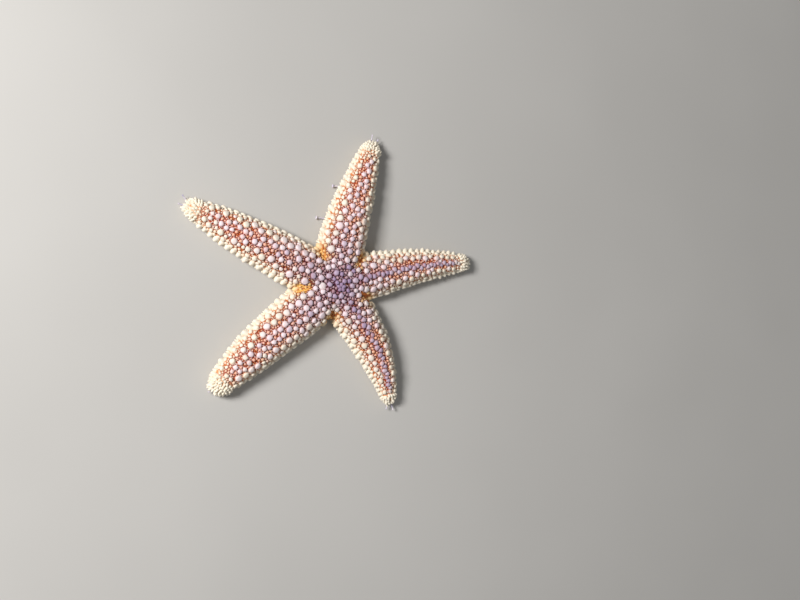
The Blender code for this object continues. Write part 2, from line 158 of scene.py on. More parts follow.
def body_point(arm, distance, angle, inset=0.0):
    """Points on the solids' flesh. The angle is 0 on the right side, 90 on the ridge and 180 on the left."""
    x, y, heading = middle_line(arm, distance)
    width = half_width(arm, distance)
    height = (arm.height - UNDER) * (width / arm.half_width) ** RIDGE_FALL
    across = np.cos(np.radians(angle))
    rise = np.sin(np.radians(angle))
    equator = UNDER + EQUATOR_SHARE * height
    power = np.where(rise >= 0, SIDE_ROUND, BELLY_ROUND)
    side = np.maximum(width - inset, 0.05 * MM) * np.sign(across) * np.abs(across) ** power
    top = equator + (height * (1 - EQUATOR_SHARE) - inset) * np.maximum(rise, 0) ** TOP_ROUND
    low = equator - (equator - UNDER - inset) * np.maximum(-rise, 0) ** BELLY_DROP
    return beside(x, y, heading, side, np.where(rise >= 0, top, low))


def size_at(arm, distance):
    """How large a spine is there, as a share of one where the arm is widest."""
    return LEAST + (1 - LEAST) * half_width(arm, distance) / arm.half_width


# Meshes

def put_in_scene(name, data):
    """A new object of a mesh, light or camera."""
    obj = bpy.data.objects.new(name, data)
    bpy.context.scene.collection.objects.link(obj)
    return obj


def new_object(name, points, faces):
    """A mesh object from points and faces."""
    mesh = bpy.data.meshes.new(name)
    mesh.from_pydata(points, [], faces)
    mesh.validate()
    mesh.update()
    return put_in_scene(name, mesh)


def ring_turn(sides):
    """The angles round a ring."""
    return np.arange(sides) * 2 * math.pi / sides


def tube_walls(count, sides):
    """The faces round a loft through rings of equally many points, numbered in turn."""
    walls = []
    for low in range(0, (count - 1) * sides, sides):
        for k in range(sides):
            after = (k + 1) % sides
            walls.append([low + k, low + after, low + sides + after, low + sides + k])
    return walls


def closed_tube(count, sides):
    """The faces of a loft with both ends closed."""
    base = list(range(sides))[::-1]
    lid = list(range((count - 1) * sides, count * sides))
    return [base, lid] + tube_walls(count, sides)


def fan(ring, peak):
    """Triangles from a ring of points to one point."""
    return [[ring[k], ring[(k + 1) % len(ring)], peak] for k in range(len(ring))]


def round_form(name, rings, sides, place, peak=None):
    """A closed form of rings, where place(ring, turn) gives each point. A peak closes the last ring."""
    points = [place(ring, 2 * math.pi * k / sides) for ring in rings for k in range(sides)]
    faces = closed_tube(len(rings), sides)
    if peak:
        lid = faces.pop(1)
        faces += fan(lid, len(points))
        points.append(peak)
    return new_object(name, points, faces)


def round_disc(reach, turn, z):
    """A point round the disc's middle."""
    return DISC_X + reach * math.cos(turn), DISC_Y + reach * math.sin(turn), z


def store(mesh, name, values):
    """Stores one number for each point of a mesh."""
    mesh.attributes.new(name, "FLOAT", "POINT").data.foreach_set("value", values.astype(np.float32))


def store_place(mesh, owner, distance, angle, each=1):
    """Stores how far along its arm and how far round from the ridge each point lies."""
    store(mesh, "along", np.repeat(distance / ARM_LENGTHS[owner], each))
    store(mesh, "flank", np.repeat(np.clip((90 - angle) / 90, -1.6, 1.6), each))


def unit_rows(vectors):
    """Rows of directions with a length of one."""
    return vectors / np.linalg.norm(vectors, axis=1, keepdims=True)


def dress(obj, look, slot, *nodes):
    """Gives a piece its material and body, and hides the solids that it stands for. The slot is not used."""
    obj.data.materials.clear()
    obj.data.materials.append(look)
    obj.data.shade_smooth()
    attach(obj, "root")
    if nodes:
        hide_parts(*nodes)


# The skin

def make_arm_flesh(arm):
    """A smooth closed loft along the whole arm, from the disc's middle to its tip."""
    turn = np.arange(SKIN_SIDES) * 360 / SKIN_SIDES
    end = arm.length - SKIN_END
    share = np.sin(np.linspace(0, math.pi / 2, SKIN_STATIONS))
    points = [body_point(arm, SKIN_START + (end - SKIN_START) * s, turn, SKIN_INSET) for s in share]
    return new_object("flesh", np.concatenate(points).tolist(), closed_tube(SKIN_STATIONS, SKIN_SIDES))


def make_dome():
    """The disc's swell."""
    rings = 14

    def place(climb, turn):
        reach = (DOME_RADIUS - SKIN_INSET) * math.cos(climb)
        height = (DOME_HEIGHT - UNDER - SKIN_INSET) * math.sin(climb)
        return round_disc(reach, turn, UNDER + height)

    climbs = [math.pi / 2 * number / rings for number in range(rings)]
    return round_form("flesh", climbs, 48, place, (DISC_X, DISC_Y, DOME_HEIGHT - SKIN_INSET))


def make_groove(arm):
    """The tube that cuts the groove under an arm, with a narrower end."""
    sides = 16
    stations = 40
    start = -0.6 * MM
    end = arm.length - GROOVE_END
    turn = ring_turn(sides)
    points = []
    for s in np.linspace(0, 1, stations):
        distance = start + (end - start) * s
        radius = GROOVE_SHARE * half_width(arm, max(distance, 0.0))
        if s == 1:
            radius *= 0.5
        height = UNDER + radius * np.sin(turn)
        points.append(beside(*middle_line(arm, distance), radius * np.cos(turn), height))
    return new_object("cutter", np.concatenate(points).tolist(), closed_tube(stations, sides))


def make_mouth_recess():
    """The round hollow that the mouth lies in."""
    rings = ((1.0, -1.0), (1.0, 0.5), (0.8, 0.85), (0.45, 1.0))  # shares of its radius and depth

    def place(ring, turn):
        return round_disc(ring[0] * MOUTH_RADIUS, turn, UNDER + ring[1] * MOUTH_DEPTH)

    return round_form("cutter", rings, 40, place)


def apply_modifiers(obj):
    """Replaces an object's mesh by what its modifiers make of it."""
    result = obj.evaluated_get(bpy.context.evaluated_depsgraph_get())
    mesh = bpy.data.meshes.new_from_object(result)
    obj.modifiers.clear()
    obj.data = mesh


def join_by(obj, others, operation):
    """Joins the others to an object, or cuts them from it, and removes them."""
    for other in others:
        change = obj.modifiers.new("Boolean", "BOOLEAN")
        change.operation = operation
        change.solver = "EXACT"
        change.object = other
    apply_modifiers(obj)
    for other in others:
        bpy.data.objects.remove(other)


def make_skin():
    """One skin over the disc and all five arms, with the grooves and the mouth's hollow under it."""
    skin = make_dome()
    join_by(skin, [make_arm_flesh(arm) for arm in ARMS], "UNION")
    join_by(skin, [make_groove(arm) for arm in ARMS] + [make_mouth_recess()], "DIFFERENCE")
    grain = skin.modifiers.new("Remesh", "REMESH")
    grain.mode = "VOXEL"
    grain.voxel_size = SKIN_VOXEL
    soften = skin.modifiers.new("Smooth", "SMOOTH")
    soften.factor = 0.5
    soften.iterations = SKIN_SMOOTHING
    apply_modifiers(skin)
    skin.name = "skin"
    return skin


class Ground:
    """The finished skin as the ground that everything else stands on."""

    def __init__(self, skin):
        mesh = skin.data
        mesh.calc_loop_triangles()
        self.points = self.fetch(mesh.vertices, "co", float)
        self.corners = self.fetch(mesh.loop_triangles, "vertices", np.int64)
        self.normals = self.fetch(mesh.vertices, "normal", float)
        self.tree = BVHTree.FromPolygons(self.points.tolist(), self.corners.tolist())

    @staticmethod
    def fetch(items, name, kind):
        """Three numbers of each item of a mesh."""
        values = np.empty(len(items) * 3, dtype=kind)
        items.foreach_get(name, values)
        return values.reshape(-1, 3)

    def smooth_normal(self, face):
        """A face's direction, softened over its corners."""
        normal = self.normals[self.corners[face]].sum(axis=0)
        return normal / np.linalg.norm(normal)

    def spot(self, point):
        """The nearest place on the skin and the direction straight out of it."""
        place, _, face, _ = self.tree.find_nearest(Vector(point))
        return np.array(place), self.smooth_normal(face)

    def along_ray(self, start, direction, reach):
        """Where a ray meets the skin first and the direction out of it there, or None."""
        place, _, face, _ = self.tree.ray_cast(Vector(start), Vector(direction), reach)
        if place is None:
            return None
        return np.array(place), self.smooth_normal(face)

    def from_above(self, x, y):
        """The place on the back over a point of the floor."""
        return self.along_ray((x, y, 15 * MM), (0, 0, -1), 20 * MM)

    def scatter(self, rng, count):
        """Random places spread evenly over the whole skin, with the direction out of it at each."""
        a, b, c = (self.points[self.corners[:, k]] for k in range(3))
        area = np.linalg.norm(np.cross(b - a, c - a), axis=1)
        chosen = rng.choice(len(area), size=count, p=area / area.sum())
        u = rng.random((count, 1))
        v = rng.random((count, 1))
        flip = u + v > 1
        u = np.where(flip, 1 - u, u)
        v = np.where(flip, 1 - v, v)
        places = a[chosen] + u * (b - a)[chosen] + v * (c - a)[chosen]
        return places, unit_rows(self.normals[self.corners[chosen]].sum(axis=1))


# Places on the body

LINE_SAMPLES = 260
LINE_START = 6.0 * MM
AT_ONCE = 20000  # points that are compared with a middle line at one time


def coordinates(points):
    """The arm that each point on the body belongs to, its distance along it and its angle round it.

    After those come how much nearer that arm's middle line is than the next one's, and how far the
    point is from the disc's middle.
    """
    points = np.asarray(points, float).reshape(-1, 3)
    count = len(points)
    nearest = np.full((len(ARMS), count), np.inf)
    distances = np.zeros((len(ARMS), count))
    sides = np.zeros((len(ARMS), count))
    for number, arm in enumerate(ARMS):
        line = np.linspace(LINE_START, arm.length, LINE_SAMPLES)
        x, y, heading = middle_line(arm, line)
        for low in range(0, count, AT_ONCE):
            part = slice(low, low + AT_ONCE)
            here = points[part]
            gap = (here[:, 0:1] - x) ** 2 + (here[:, 1:2] - y) ** 2
            best = gap.argmin(axis=1)
            nearest[number, part] = np.sqrt(gap[np.arange(len(here)), best])
            distances[number, part] = line[best]
            right = (here[:, 0] - x[best]) * np.sin(heading[best])
            sides[number, part] = right - (here[:, 1] - y[best]) * np.cos(heading[best])
    order = np.argsort(nearest, axis=0)
    columns = np.arange(count)
    owner = order[0]
    reach = np.hypot(points[:, 0] - DISC_X, points[:, 1] - DISC_Y)
    distance = np.minimum(distances[owner, columns], np.maximum(reach, LINE_START))
    distance = np.where(reach < LINE_START, reach, distance)
    equator = np.array([UNDER + EQUATOR_SHARE * (arm.height - UNDER) for arm in ARMS])[owner]
    angle = np.degrees(np.arctan2(points[:, 2] - equator, sides[owner, columns]))
    angle = np.where(angle < -90, angle + 360, angle)
    split = nearest[order[1], columns] - nearest[order[0], columns]
    return owner, distance, angle, split, reach


FOLD_WIDTH = 3.2 * MM
FOLD_NEAR = 8.2 * MM
FOLD_FAR = 16.0 * MM
GLOW_SPREAD = 1.9  # how much wider than the folds the warm tint of the beads beside them is


def fold_share(split, reach):
    """How much a place belongs to the folded skin in the corner between two arms, from 0 to 1."""
    near = np.clip(1.2 - split / FOLD_WIDTH, 0, 1)
    inside = np.clip((reach - FOLD_NEAR) / (1.5 * MM), 0, 1)
    return near * inside * np.clip((FOLD_FAR - reach) / (2.0 * MM), 0, 1)


def fold_at(root, spread=1.0):
    """The same for one place, where a spread above 1 widens the fold."""
    _, _, _, split, reach = coordinates(root)
    return fold_share(split[0] / spread, reach[0])


def bake_place(owner, distance, angle):
    """Where a root lies on an unwrap of the body, with one strip for each arm."""
    u = (owner + 0.04 + 0.92 * (angle + 90) / 360) / len(ARMS)
    v = 0.02 + 0.95 * np.clip(distance / ARM_LENGTHS[owner], 0, 1)
    return np.stack([u, v], axis=-1)


# Coats of spines and beads

@dataclass
class Form:
    """A kind of spine or bead. Its rings are shares of its radius and height, from its root up."""

    sides: int
    rings: tuple
    wobble: float  # share by which its outline is uneven
    low: float = 0.35 * MM  # how deep its root is sunk


PAD = Form(14, ((1.0, 0.0), (0.98, 0.45), (0.84, 0.82), (0.50, 0.98)), 0.09)
SPINE = Form(14, ((1.0, 0.0), (0.98, 0.58), (0.90, 0.87), (0.62, 0.99)), 0.12)
BAR = Form(11, ((1.0, 0.0), (0.98, 0.54), (0.88, 0.87), (0.58, 0.99)), 0.11)
POINTED = Form(7, ((1.0, 0.0), (0.95, 0.30), (0.76, 0.64), (0.46, 0.90)), 0.04)
BEAD = Form(8, ((1.0, 0.0), (0.97, 0.48), (0.68, 0.88)), 0.08)
SPECK = Form(5, ((1.0, 0.0), (0.80, 0.72)), 0.10, 0.2 * MM)

BAKE_PATCH = 0.0015  # radius of one root's patch on the bake's map
UNDER_PATCH = 0.0002
CREVICE = 0.09 * MM  # half the gap between neighbours that crowd each other
CORNER_SHARPNESS = 8
FULL = 1.3  # how far past its size a root may fill its room, and how far it fills it at least
SCANT = 0.45


class Coat:
    """Spines or beads of one form, gathered root by root and then made into a mesh."""

    def __init__(self, name, form, crowded=0.0):
        self.name = name
        self.form = form
        self.crowded = crowded  # its radius as a share of what it fills in the crowd, or 0 if it stands free
        self.rows = []

    def add(self, root, axis, side, wide, deep, tall, chance, lilac=0.0, gold=0.0):
        """One more: its root, its direction, the direction of its width, its sizes and its tints."""
        self.rows.append((*root, *axis, *side, wide, deep, tall, chance, lilac, gold))

    def build(self, rng, look, crowd, parts):
        """Makes the mesh of all the roots, or one mesh for each of some equal parts of them."""
        data = np.array(self.rows)
        for number in range(parts):
            name = f"{self.name}_{number + 1}" if parts > 1 else self.name
            first = int(len(data) * number / parts)
            last = int(len(data) * (number + 1) / parts)
            self.build_part(name, data[first:last], rng, look, crowd)

    def outline(self, rng, count):
        """Each root's directions round it, and how uneven it is in each."""
        form = self.form
        turn = 2 * math.pi * (np.arange(form.sides) / form.sides + rng.random((count, 1)))
        uneven = 1 + 0.4 * form.wobble * rng.uniform(-1, 1, (count, form.sides))
        for lobes in (2, 3, 4, 5):
            depth = form.wobble * rng.random((count, 1))
            uneven += depth * np.cos(lobes * turn + 7 * rng.random((count, 1)))
        return turn, uneven

    def spread(self, crowd, root, side, across, sizes, turn, uneven):
        """How far each one's outline reaches in each direction, along its width and across it."""
        wide, deep = sizes
        if not self.crowded:
            return wide * uneven, deep * uneven
        full = FULL * np.hypot(wide * np.cos(turn), deep * np.sin(turn)) * uneven / self.crowded
        room = crowd.room(root, wide[:, 0] / self.crowded, side, across, turn) - CREVICE
        room = np.maximum(room, SCANT * full)
        reach = (room**-CORNER_SHARPNESS + full**-CORNER_SHARPNESS) ** (-1 / CORNER_SHARPNESS)
        return reach * self.crowded, reach * self.crowded

    def build_part(self, name, data, rng, look, crowd):
        """The mesh of some of the roots, in the order in which they were added."""
        count = len(data)
        sides = self.form.sides
        root, axis, side = data[:, 0:3], data[:, 3:6], data[:, 6:9]
        wide, deep, tall = (data[:, k : k + 1] for k in range(9, 12))
        axis = unit_rows(axis)
        side = unit_rows(side - axis * (side * axis).sum(axis=1, keepdims=True))
        across = np.cross(axis, side)
        owner, distance, angle, _, _ = coordinates(root)
        centre = bake_place(owner, distance, angle)
        turn, uneven = self.outline(rng, count)
        along_side, along_across = self.spread(crowd, root, side, across, (wide, deep), turn, uneven)

        radii = [1.0] + [radius for radius, _ in self.form.rings]
        heights = [0.0] + [height for _, height in self.form.rings]
        rises = [np.full((count, 1), -self.form.low)] + [height * tall for height in heights[1:]]
        rings = []
        patches = []
        for number, (radius, rise) in enumerate(zip(radii, rises)):
            rings.append(
                root[:, None, :]
                + (axis * rise)[:, None, :]
                + side[:, None, :] * (radius * along_side * np.cos(turn))[:, :, None]
                + across[:, None, :] * (radius * along_across * np.sin(turn))[:, :, None]
            )
            inward = BAKE_PATCH * (1 - number / len(radii))
            patches.append(centre[:, None, :] + np.stack([np.cos(turn), np.sin(turn)], axis=-1) * inward)
        rings.append((root + axis * tall)[:, None, :])
        patches.append(centre[:, None, :])

        each = len(radii) * sides + 1
        top = range(each - 1 - sides, each - 1)
        faces = []
        for group in (tube_walls(len(radii), sides), fan(top, each - 1), [list(range(sides))[::-1]]):
            starts = np.arange(count)[:, None, None] * each
            faces += (starts + np.array(group)).reshape(-1, len(group[0])).tolist()
        obj = new_object(name, np.concatenate(rings, axis=1).reshape(-1, 3).tolist(), faces)
        store(obj.data, "lift", np.tile(np.append(np.repeat(heights, sides), 1.0), count))
        store_place(obj.data, owner, distance, angle, each)
        for column, tint in enumerate(("chance", "lilac", "gold"), 12):
            store(obj.data, tint, np.repeat(data[:, column], each))
        self.unwrap(obj.data, np.concatenate(patches, axis=1), centre)
        dress(obj, look, "skin")

    def unwrap(self, mesh, spread, centre):
        """Lays each root's outside on the bake's map as a round patch, with its hidden base beside it."""
        corner = np.empty(len(mesh.loops), dtype=np.int64)
        mesh.loops.foreach_get("vertex_index", corner)
        place = spread.reshape(-1, 2)[corner]
        hidden = len(mesh.loops) - len(centre) * self.form.sides
        middle = np.repeat(centre, self.form.sides, axis=0)
        shrunk = (place[hidden:] - middle) * UNDER_PATCH / BAKE_PATCH
        place[hidden:] = middle + shrunk + (BAKE_PATCH * 1.2, 0)
        mesh.uv_layers.new(name="OFBake").data.foreach_set("uv", place.reshape(-1))


LARGEST_ROOT = 1.6 * MM
OPEN_ROOM = 9 * MM  # how far a root could reach without neighbours
SAME_ROOT = 0.05 * MM


class Crowd:
    """Keeps the roots that stand on the skin so far, so that new ones can keep clear of them."""

    CELL = 1.6 * MM

    def __init__(self):
        self.cells = {}
        self.places = []
        self.radii = []
        self.tree = None

    def cell(self, point):
        return tuple(int(math.floor(value / self.CELL)) for value in point)

    def free(self, point, radius, overlap):
        """Whether a root of this radius fits there, where near ones may overlap by a share."""
        for near in product(*((k - 1, k, k + 1) for k in self.cell(point))):
            for other, size in self.cells.get(near, ()):
                if math.dist(other, point) < (1 - overlap) * (size + radius):
                    return False
        return True

    def add(self, point, radius):
        self.cells.setdefault(self.cell(point), []).append((tuple(point), radius))
        self.places.append(tuple(point))
        self.radii.append(radius)

    def close(self):
        """Readies the finished crowd for room()."""
        self.tree = KDTree(len(self.places))
        for number, place in enumerate(self.places):
            self.tree.insert(place, number)
        self.tree.balance()
        self.places = np.array(self.places)
        self.radii = np.array(self.radii)

    def room(self, roots, radii, side, across, turn):
        """How far each root can reach in each direction, up to the line that it shares with a neighbour."""
        limits = np.full(turn.shape, OPEN_ROOM)
        for number, root in enumerate(roots):
            found = self.tree.find_range(Vector(root), radii[number] * 1.4 + LARGEST_ROOT)
            near = [index for _, index, gap in found if gap > SAME_ROOT]
            if near:
                offset = self.places[near] - root
                u = offset @ side[number]
                v = offset @ across[number]
                share = radii[number] / (radii[number] + self.radii[near])
                ahead = np.outer(u, np.cos(turn[number])) + np.outer(v, np.sin(turn[number]))
                bound = (share * (u * u + v * v))[:, None] / np.maximum(ahead, 1e-9)
                limits[number] = np.minimum(limits[number], bound.min(axis=0))
        return limits


# A rosette's pad and blunt spine, as shares of its radius, and its pincers
PAD_TALL = 0.58
SPINE_SHARE = 0.86
SPINE_TALL = 0.98
TALLEST_SPINE = 1.08 * MM
PINCER_REACH = 0.96
PINCER_RISE = 0.35
PINCER_RADIUS = 0.18 * MM
PINCER_TALL = 0.30 * MM

# Rows along the back: first, step and radius in mm, lilac at the disc and its fall by the tip
ZIGZAG_RIDGE = (9.4, 2.25, 1.20, 0.60, 0.6)
STRING_RIDGE = (8.2, 1.66, 1.14, 0.8, 0.3)
STRING_OVERLAP = 0.44
ROW_OVERLAP = 0.16
INNER_SIDE = 34  # degrees off the ridge
OUTER_SIDE = 58
LARGE_BY_ZIGZAG = 1.50  # radius in mm of the inner side rows' spines
LARGE_BY_STRING = 1.34
MOST_FOLD = 0.3  # spines keep off places that belong to a fold by more than this

FLANK_BAR = ((20, 0.95), (34, 0.98), (49, 0.82))  # each spine's angle round the arm, half its length in mm
FLANK_RADIUS = 0.84 * MM
FLANK_TALL = 0.86 * MM
FLANK_GLOW = 0.75  # how strong the warm tint is on the flanks' spines

LUMP_RADIUS = 1.16 * MM
LUMP_SPINES = (  # place up and along the arm, radius and height, all as shares of the lump's radius
    (0.28, 0.0, 1.0, 1.34),
    (-0.62, -0.42, 0.44, 1.0),
    (-0.62, 0.42, 0.44, 1.0),
)
POINTED_SIDE = 0.1  # an edge's lumps are pointed where its outward direction's X is less
FAN_PAD = 0.74 * MM
FAN_GAP = 0.42  # in mm, as are the next two
FAN_LENGTH = 1.60
FAN_MIDDLE_LENGTH = 1.85
FAN_RADIUS = 0.46 * MM

CROWN_RINGS = (4.1, 3.3, 2.5, 1.75, 1.05, 0.40)  # how far each ring stands back from the tip in mm
CROWN_SHARE = 1.21  # how far a tip's crown reaches back, as a share of the arm's rounded end
CROWN_RADIUS = 0.56 * MM

STAR_X = 0.5 * MM
STAR_Y = -0.9 * MM
STAR_REACH = 0.86 * MM
DISC_SPINES = (  # heading in degrees, distance and radius in mm, length for its width, how lilac it is
    (137, 2.6, 0.80, 1.0, 1.0),
    (78, 3.5, 0.92, 1.0, 0.8),
    (20, 3.6, 0.90, 1.0, 1.3),
    (-33, 3.6, 0.88, 1.0, 1.2),
    (87, 7.1, 1.00, 1.3, 0.1),
    (124, 6.6, 1.12, 1.0, 0.0),
    (148, 8.4, 1.18, 1.0, 0.0),
    (60, 6.7, 0.98, 1.0, 0.8),
    (41, 6.9, 0.94, 1.0, 0.9),
    (203, 6.2, 1.16, 1.0, -0.2),
    (-17, 6.4, 1.00, 1.35, 0.2),
    (232, 7.4, 1.18, 1.0, 0.0),
    (267, 5.6, 1.02, 1.0, 0.4),
    (287, 5.8, 0.90, 1.0, 0.6),
    (306, 7.3, 1.02, 1.0, 0.7),
)

UNDER_ROWS = (  # share of the half width, first distance, height, step and radius in mm, and outward lean
    (0.40, 5.2, 1.05, 0.62, 0.17, -0.10),
    (0.52, 5.6, 1.00, 0.80, 0.22, 0.15),
    (0.70, 9.0, 1.00, 1.25, 0.34, 0.35),
    (0.86, 11.0, 1.00, 1.40, 0.38, 0.60),
)
UNDER_REACH = 3.2 * MM  # how far over the floor the underside is looked for
# Distance from the disc's middle in mm, and turn from the corner's heading in degrees
MOUTH_SPINES = ((4.05, -10), (4.05, 10), (4.65, -19), (4.65, 0), (4.65, 19), (5.40, -8), (5.40, 8))


class Wardrobe:
    """All that stands on the skin, root by root."""

    def __init__(self, ground):
        self.ground = ground
        self.rng = np.random.default_rng(SEED)
        self.crowd = Crowd()
        self.pads = Coat("spine_pads", PAD, 1.0)
        self.spines = Coat("back_spines", SPINE, SPINE_SHARE)
        self.bars = Coat("flank_spines", BAR, 1.0)
        self.lumps = Coat("margin_pads", PAD)
        self.knobs = Coat("margin_knobs", BAR)
        self.margins = Coat("margin_spines", POINTED)
        self.crowns = Coat("tip_spines", POINTED)
        self.wreaths = Coat("pincer_wreaths", SPECK)
        self.gills = Coat("skin_gills", BEAD, 1.0)
        self.folds = Coat("corner_folds", BEAD)
        self.grains = Coat("small_spines", BEAD, 1.0)
        self.groove = Coat("groove_spines", POINTED)

    def vary(self, share):
        """A random factor close to 1."""
        return 1 + share * self.rng.uniform(-1, 1)

    def steps(self, arm, first, step, end, uneven=0.0):
        """Distances along an arm, closer where it is narrow, with the size of a spine at each."""
        distance = first * MM
        while distance < arm.length - end * MM:
            scale = size_at(arm, distance)
            yield distance, scale
            distance += step * MM * scale * (self.vary(uneven) if uneven else 1)

    def wreath(self, root, axis, forward, radius, tall, count, chance, lilac):
        """A ring of tiny pincers on the pad round a spine's foot."""
        across = np.cross(axis, forward)
        across /= np.linalg.norm(across)
        ahead = np.cross(across, axis)
        start = self.rng.uniform(0, 2 * math.pi)
        for number in range(count):
            turn = start + 2 * math.pi * (number + 0.3 * self.rng.uniform(-1, 1)) / count
            out = ahead * math.cos(turn) + across * math.sin(turn)
            place = root + out * radius * PINCER_REACH * self.vary(0.08) + axis * tall * PINCER_RISE
            size = PINCER_RADIUS * self.vary(0.2)
            height = PINCER_TALL * self.vary(0.25)
            self.wreaths.add(place, axis + 0.45 * out, ahead, size, size, height, chance, lilac)

    def rosette(self, root, axis, forward, radius, lilac=0.0, long=1.0):
        """A blunt spine on its soft pad with a wreath of pincers round it."""
        chance = self.rng.random()
        radius *= self.vary(0.06)
        tall = PAD_TALL * radius
        deep = radius * long * self.vary(0.06)
        self.pads.add(root, axis, forward, radius, deep, tall, chance, lilac)
        reach = SPINE_SHARE * radius
        peak = min(SPINE_TALL * radius, TALLEST_SPINE) * self.vary(0.05)
        self.spines.add(root, axis, forward, reach, reach * long, peak, chance, lilac)
        self.wreath(root, axis, forward, radius, tall, int(6 * radius / MM + 1), chance, lilac)
        self.crowd.add(root, radius * 1.02)

    def row(self, arm, angle, sizes, swing, overlap=ROW_OVERLAP):
        """A row of large spines along an arm, at an angle round it, as far as its tip."""
        first, step, radius, lilac, fall = sizes
        for number, (distance, scale) in enumerate(self.steps(arm, first, step, 2.4, 0.07)):
            bent = angle + (-1) ** number * swing + self.rng.uniform(-3, 3)
            root, axis = self.ground.spot(body_point(arm, distance, bent))
            tint = lilac - fall * (distance / arm.length)
            size = radius * MM * scale * self.vary(0.15)
            if self.crowd.free(root, size, overlap) and fold_at(root) < MOST_FOLD:
                long = 1.08 + 0.2 * self.rng.uniform(-1, 1)
                self.rosette(root, axis, ahead_at(arm, distance), size, tint, long)

    def clothe_back(self, arm):
        """The ridge row and the rows of large spines beside it."""
        if arm.zigzag > 5:
            self.row(arm, 90, ZIGZAG_RIDGE, arm.zigzag)
            large = LARGE_BY_ZIGZAG
        else:
            self.row(arm, 90, STRING_RIDGE, arm.zigzag, STRING_OVERLAP)
            large = LARGE_BY_STRING
        for way in (-1, 1):
            self.row(arm, 90 + INNER_SIDE * way, (10.2 + 0.7 * way, 2.75, large, 0.35, 0.6), 4)
            self.row(arm, 90 + OUTER_SIDE * way, (11.6 - 0.7 * way, 2.60, 1.26, 0.10, 0.3), 4)

    def clothe_flank(self, arm, mirrored):
        """Bars of oval spines that lie across the arm's flank, side by side."""
        for distance, scale in self.steps(arm, 10.6, 1.85, 2.6, 0.06):
            for angle, deep in FLANK_BAR:
                turned = 180 - angle if mirrored else angle
                place = distance + 0.10 * MM * self.rng.uniform(-1, 1)
                root, axis = self.ground.spot(body_point(arm, place, turned + self.rng.uniform(-2, 2)))
                radius = FLANK_RADIUS * scale * self.vary(0.1)
                if not self.crowd.free(root, radius, 0.28) or fold_at(root) > MOST_FOLD:
                    continue
                chance = self.rng.random()
                long = deep * MM * scale * self.vary(0.1)
                tall = FLANK_TALL * scale * self.vary(0.1)
                glow = FLANK_GLOW * fold_at(root, GLOW_SPREAD)
                self.bars.add(root, axis, ahead_at(arm, distance), radius, long, tall, chance, 0, glow)
                self.crowd.add(root, radius)

    def clothe_margin(self, arm, mirrored):
        """A row of stout blunt lumps along the arm's edge, over a row of fans of pointed spines."""
        for make, angle, first, step in ((self.add_lump, 2, 11.0, 2.55), (self.add_fan, -26, 10.4, 2.15)):
            for distance, scale in self.steps(arm, first, step, 1.2, 0.09):
                root, axis = self.ground.spot(body_point(arm, distance, 180 - angle if mirrored else angle))
                forward = ahead_at(arm, distance)
                outward = np.cross(forward, (0, 0, 1)) * (-1 if mirrored else 1)
                make(root, axis, forward, outward, scale)

    def add_lump(self, root, axis, forward, outward, scale):
        """A broad blunt spine over two narrow ones, on one pad at the arm's edge."""
        if not self.crowd.free(root, 0.9 * MM * scale, 0.3):
            return
        chance = self.rng.random()
        body = LUMP_RADIUS * scale * self.vary(0.08)
        pointed = outward[0] < POINTED_SIDE
        glow = FLANK_GLOW * fold_at(root, GLOW_SPREAD)
        lean = 0.5 * axis + outward + np.array([0, 0, 0.15]) + 0.12 * self.rng.uniform(-1, 1, 3)
        if pointed:
            lean += 0.45 * forward
        lean /= np.linalg.norm(lean)
        upward = np.cross(lean, forward)
        upward *= math.copysign(1.0, upward[2])
        self.lumps.add(root, lean, forward, body, body * 1.1, 0.78 * body, chance, 0, glow)
        for rise, aside, wide, tall in LUMP_SPINES:
            foot = root + (upward * rise + forward * aside) * body
            tilt = lean + 0.4 * upward * rise + 0.3 * forward * aside
            reach = wide * body * self.vary(0.1)
            length = tall * body * self.vary(0.08)
            if pointed:
                self.margins.add(foot, tilt, forward, reach, reach * 1.1, length * 1.4, chance, 0, glow)
            else:
                self.knobs.add(foot, tilt, forward, reach, reach * 0.94, length, chance, 0, glow)
        self.wreath(root, lean, forward, 1.12 * body, 0.5 * body, 5, chance, 0)
        self.crowd.add(root, 0.98 * body)

    def add_fan(self, root, axis, forward, outward, scale):
        """Three pointed spines side by side on a pad, which point out and a little down."""
        chance = self.rng.random()
        body = FAN_PAD * scale
        self.lumps.add(root, axis + 0.4 * outward, forward, body, body * 0.95, 0.7 * body, chance)
        for number in (-1, 0, 1):
            turn = math.radians(24) * number + self.rng.uniform(-0.1, 0.1)
            lean = outward * math.cos(turn) + forward * (math.sin(turn) + 0.3) - np.array([0, 0, 0.30])
            foot = root + forward * FAN_GAP * MM * scale * number
            reach = FAN_RADIUS * scale
            length = (FAN_LENGTH if number else FAN_MIDDLE_LENGTH) * MM * scale * self.vary(0.1)
            self.margins.add(foot, 0.35 * axis + lean, forward, reach, reach, length, chance)
        self.crowd.add(root, 0.72 * MM * scale)

    def clothe_tip(self, arm):
        """The bushy crown of pointed spines round an arm's end."""
        for back in CROWN_RINGS:
            if back * MM > CROWN_SHARE * arm.blunt:
                continue
            distance = arm.length - back * MM
            forward = ahead_at(arm, distance)
            close = (0.66 if back < 2.8 else 0.78) * MM
            count = max(6, int(math.pi * half_width(arm, distance) / close))
            for number in range(count):
                angle = -20 + 220 * (number + 0.5 * self.rng.random()) / (count - 0.5)
                place = distance + 0.2 * MM * self.rng.uniform(-1, 1)
                root, axis = self.ground.spot(body_point(arm, place, angle))
                direction = axis + forward * (0.25 + 0.5 * (4.4 - back) / 4)
                edge = abs(math.cos(math.radians(angle)))
                tall = (0.86 + 0.14 * (4.4 - back) + 0.42 * edge) * MM * self.vary(0.18)
                thick = CROWN_RADIUS * self.vary(0.15)
                self.crowns.add(root, direction, forward, thick, thick, tall, self.rng.random(), -0.3)
                self.crowd.add(root, 0.46 * MM)

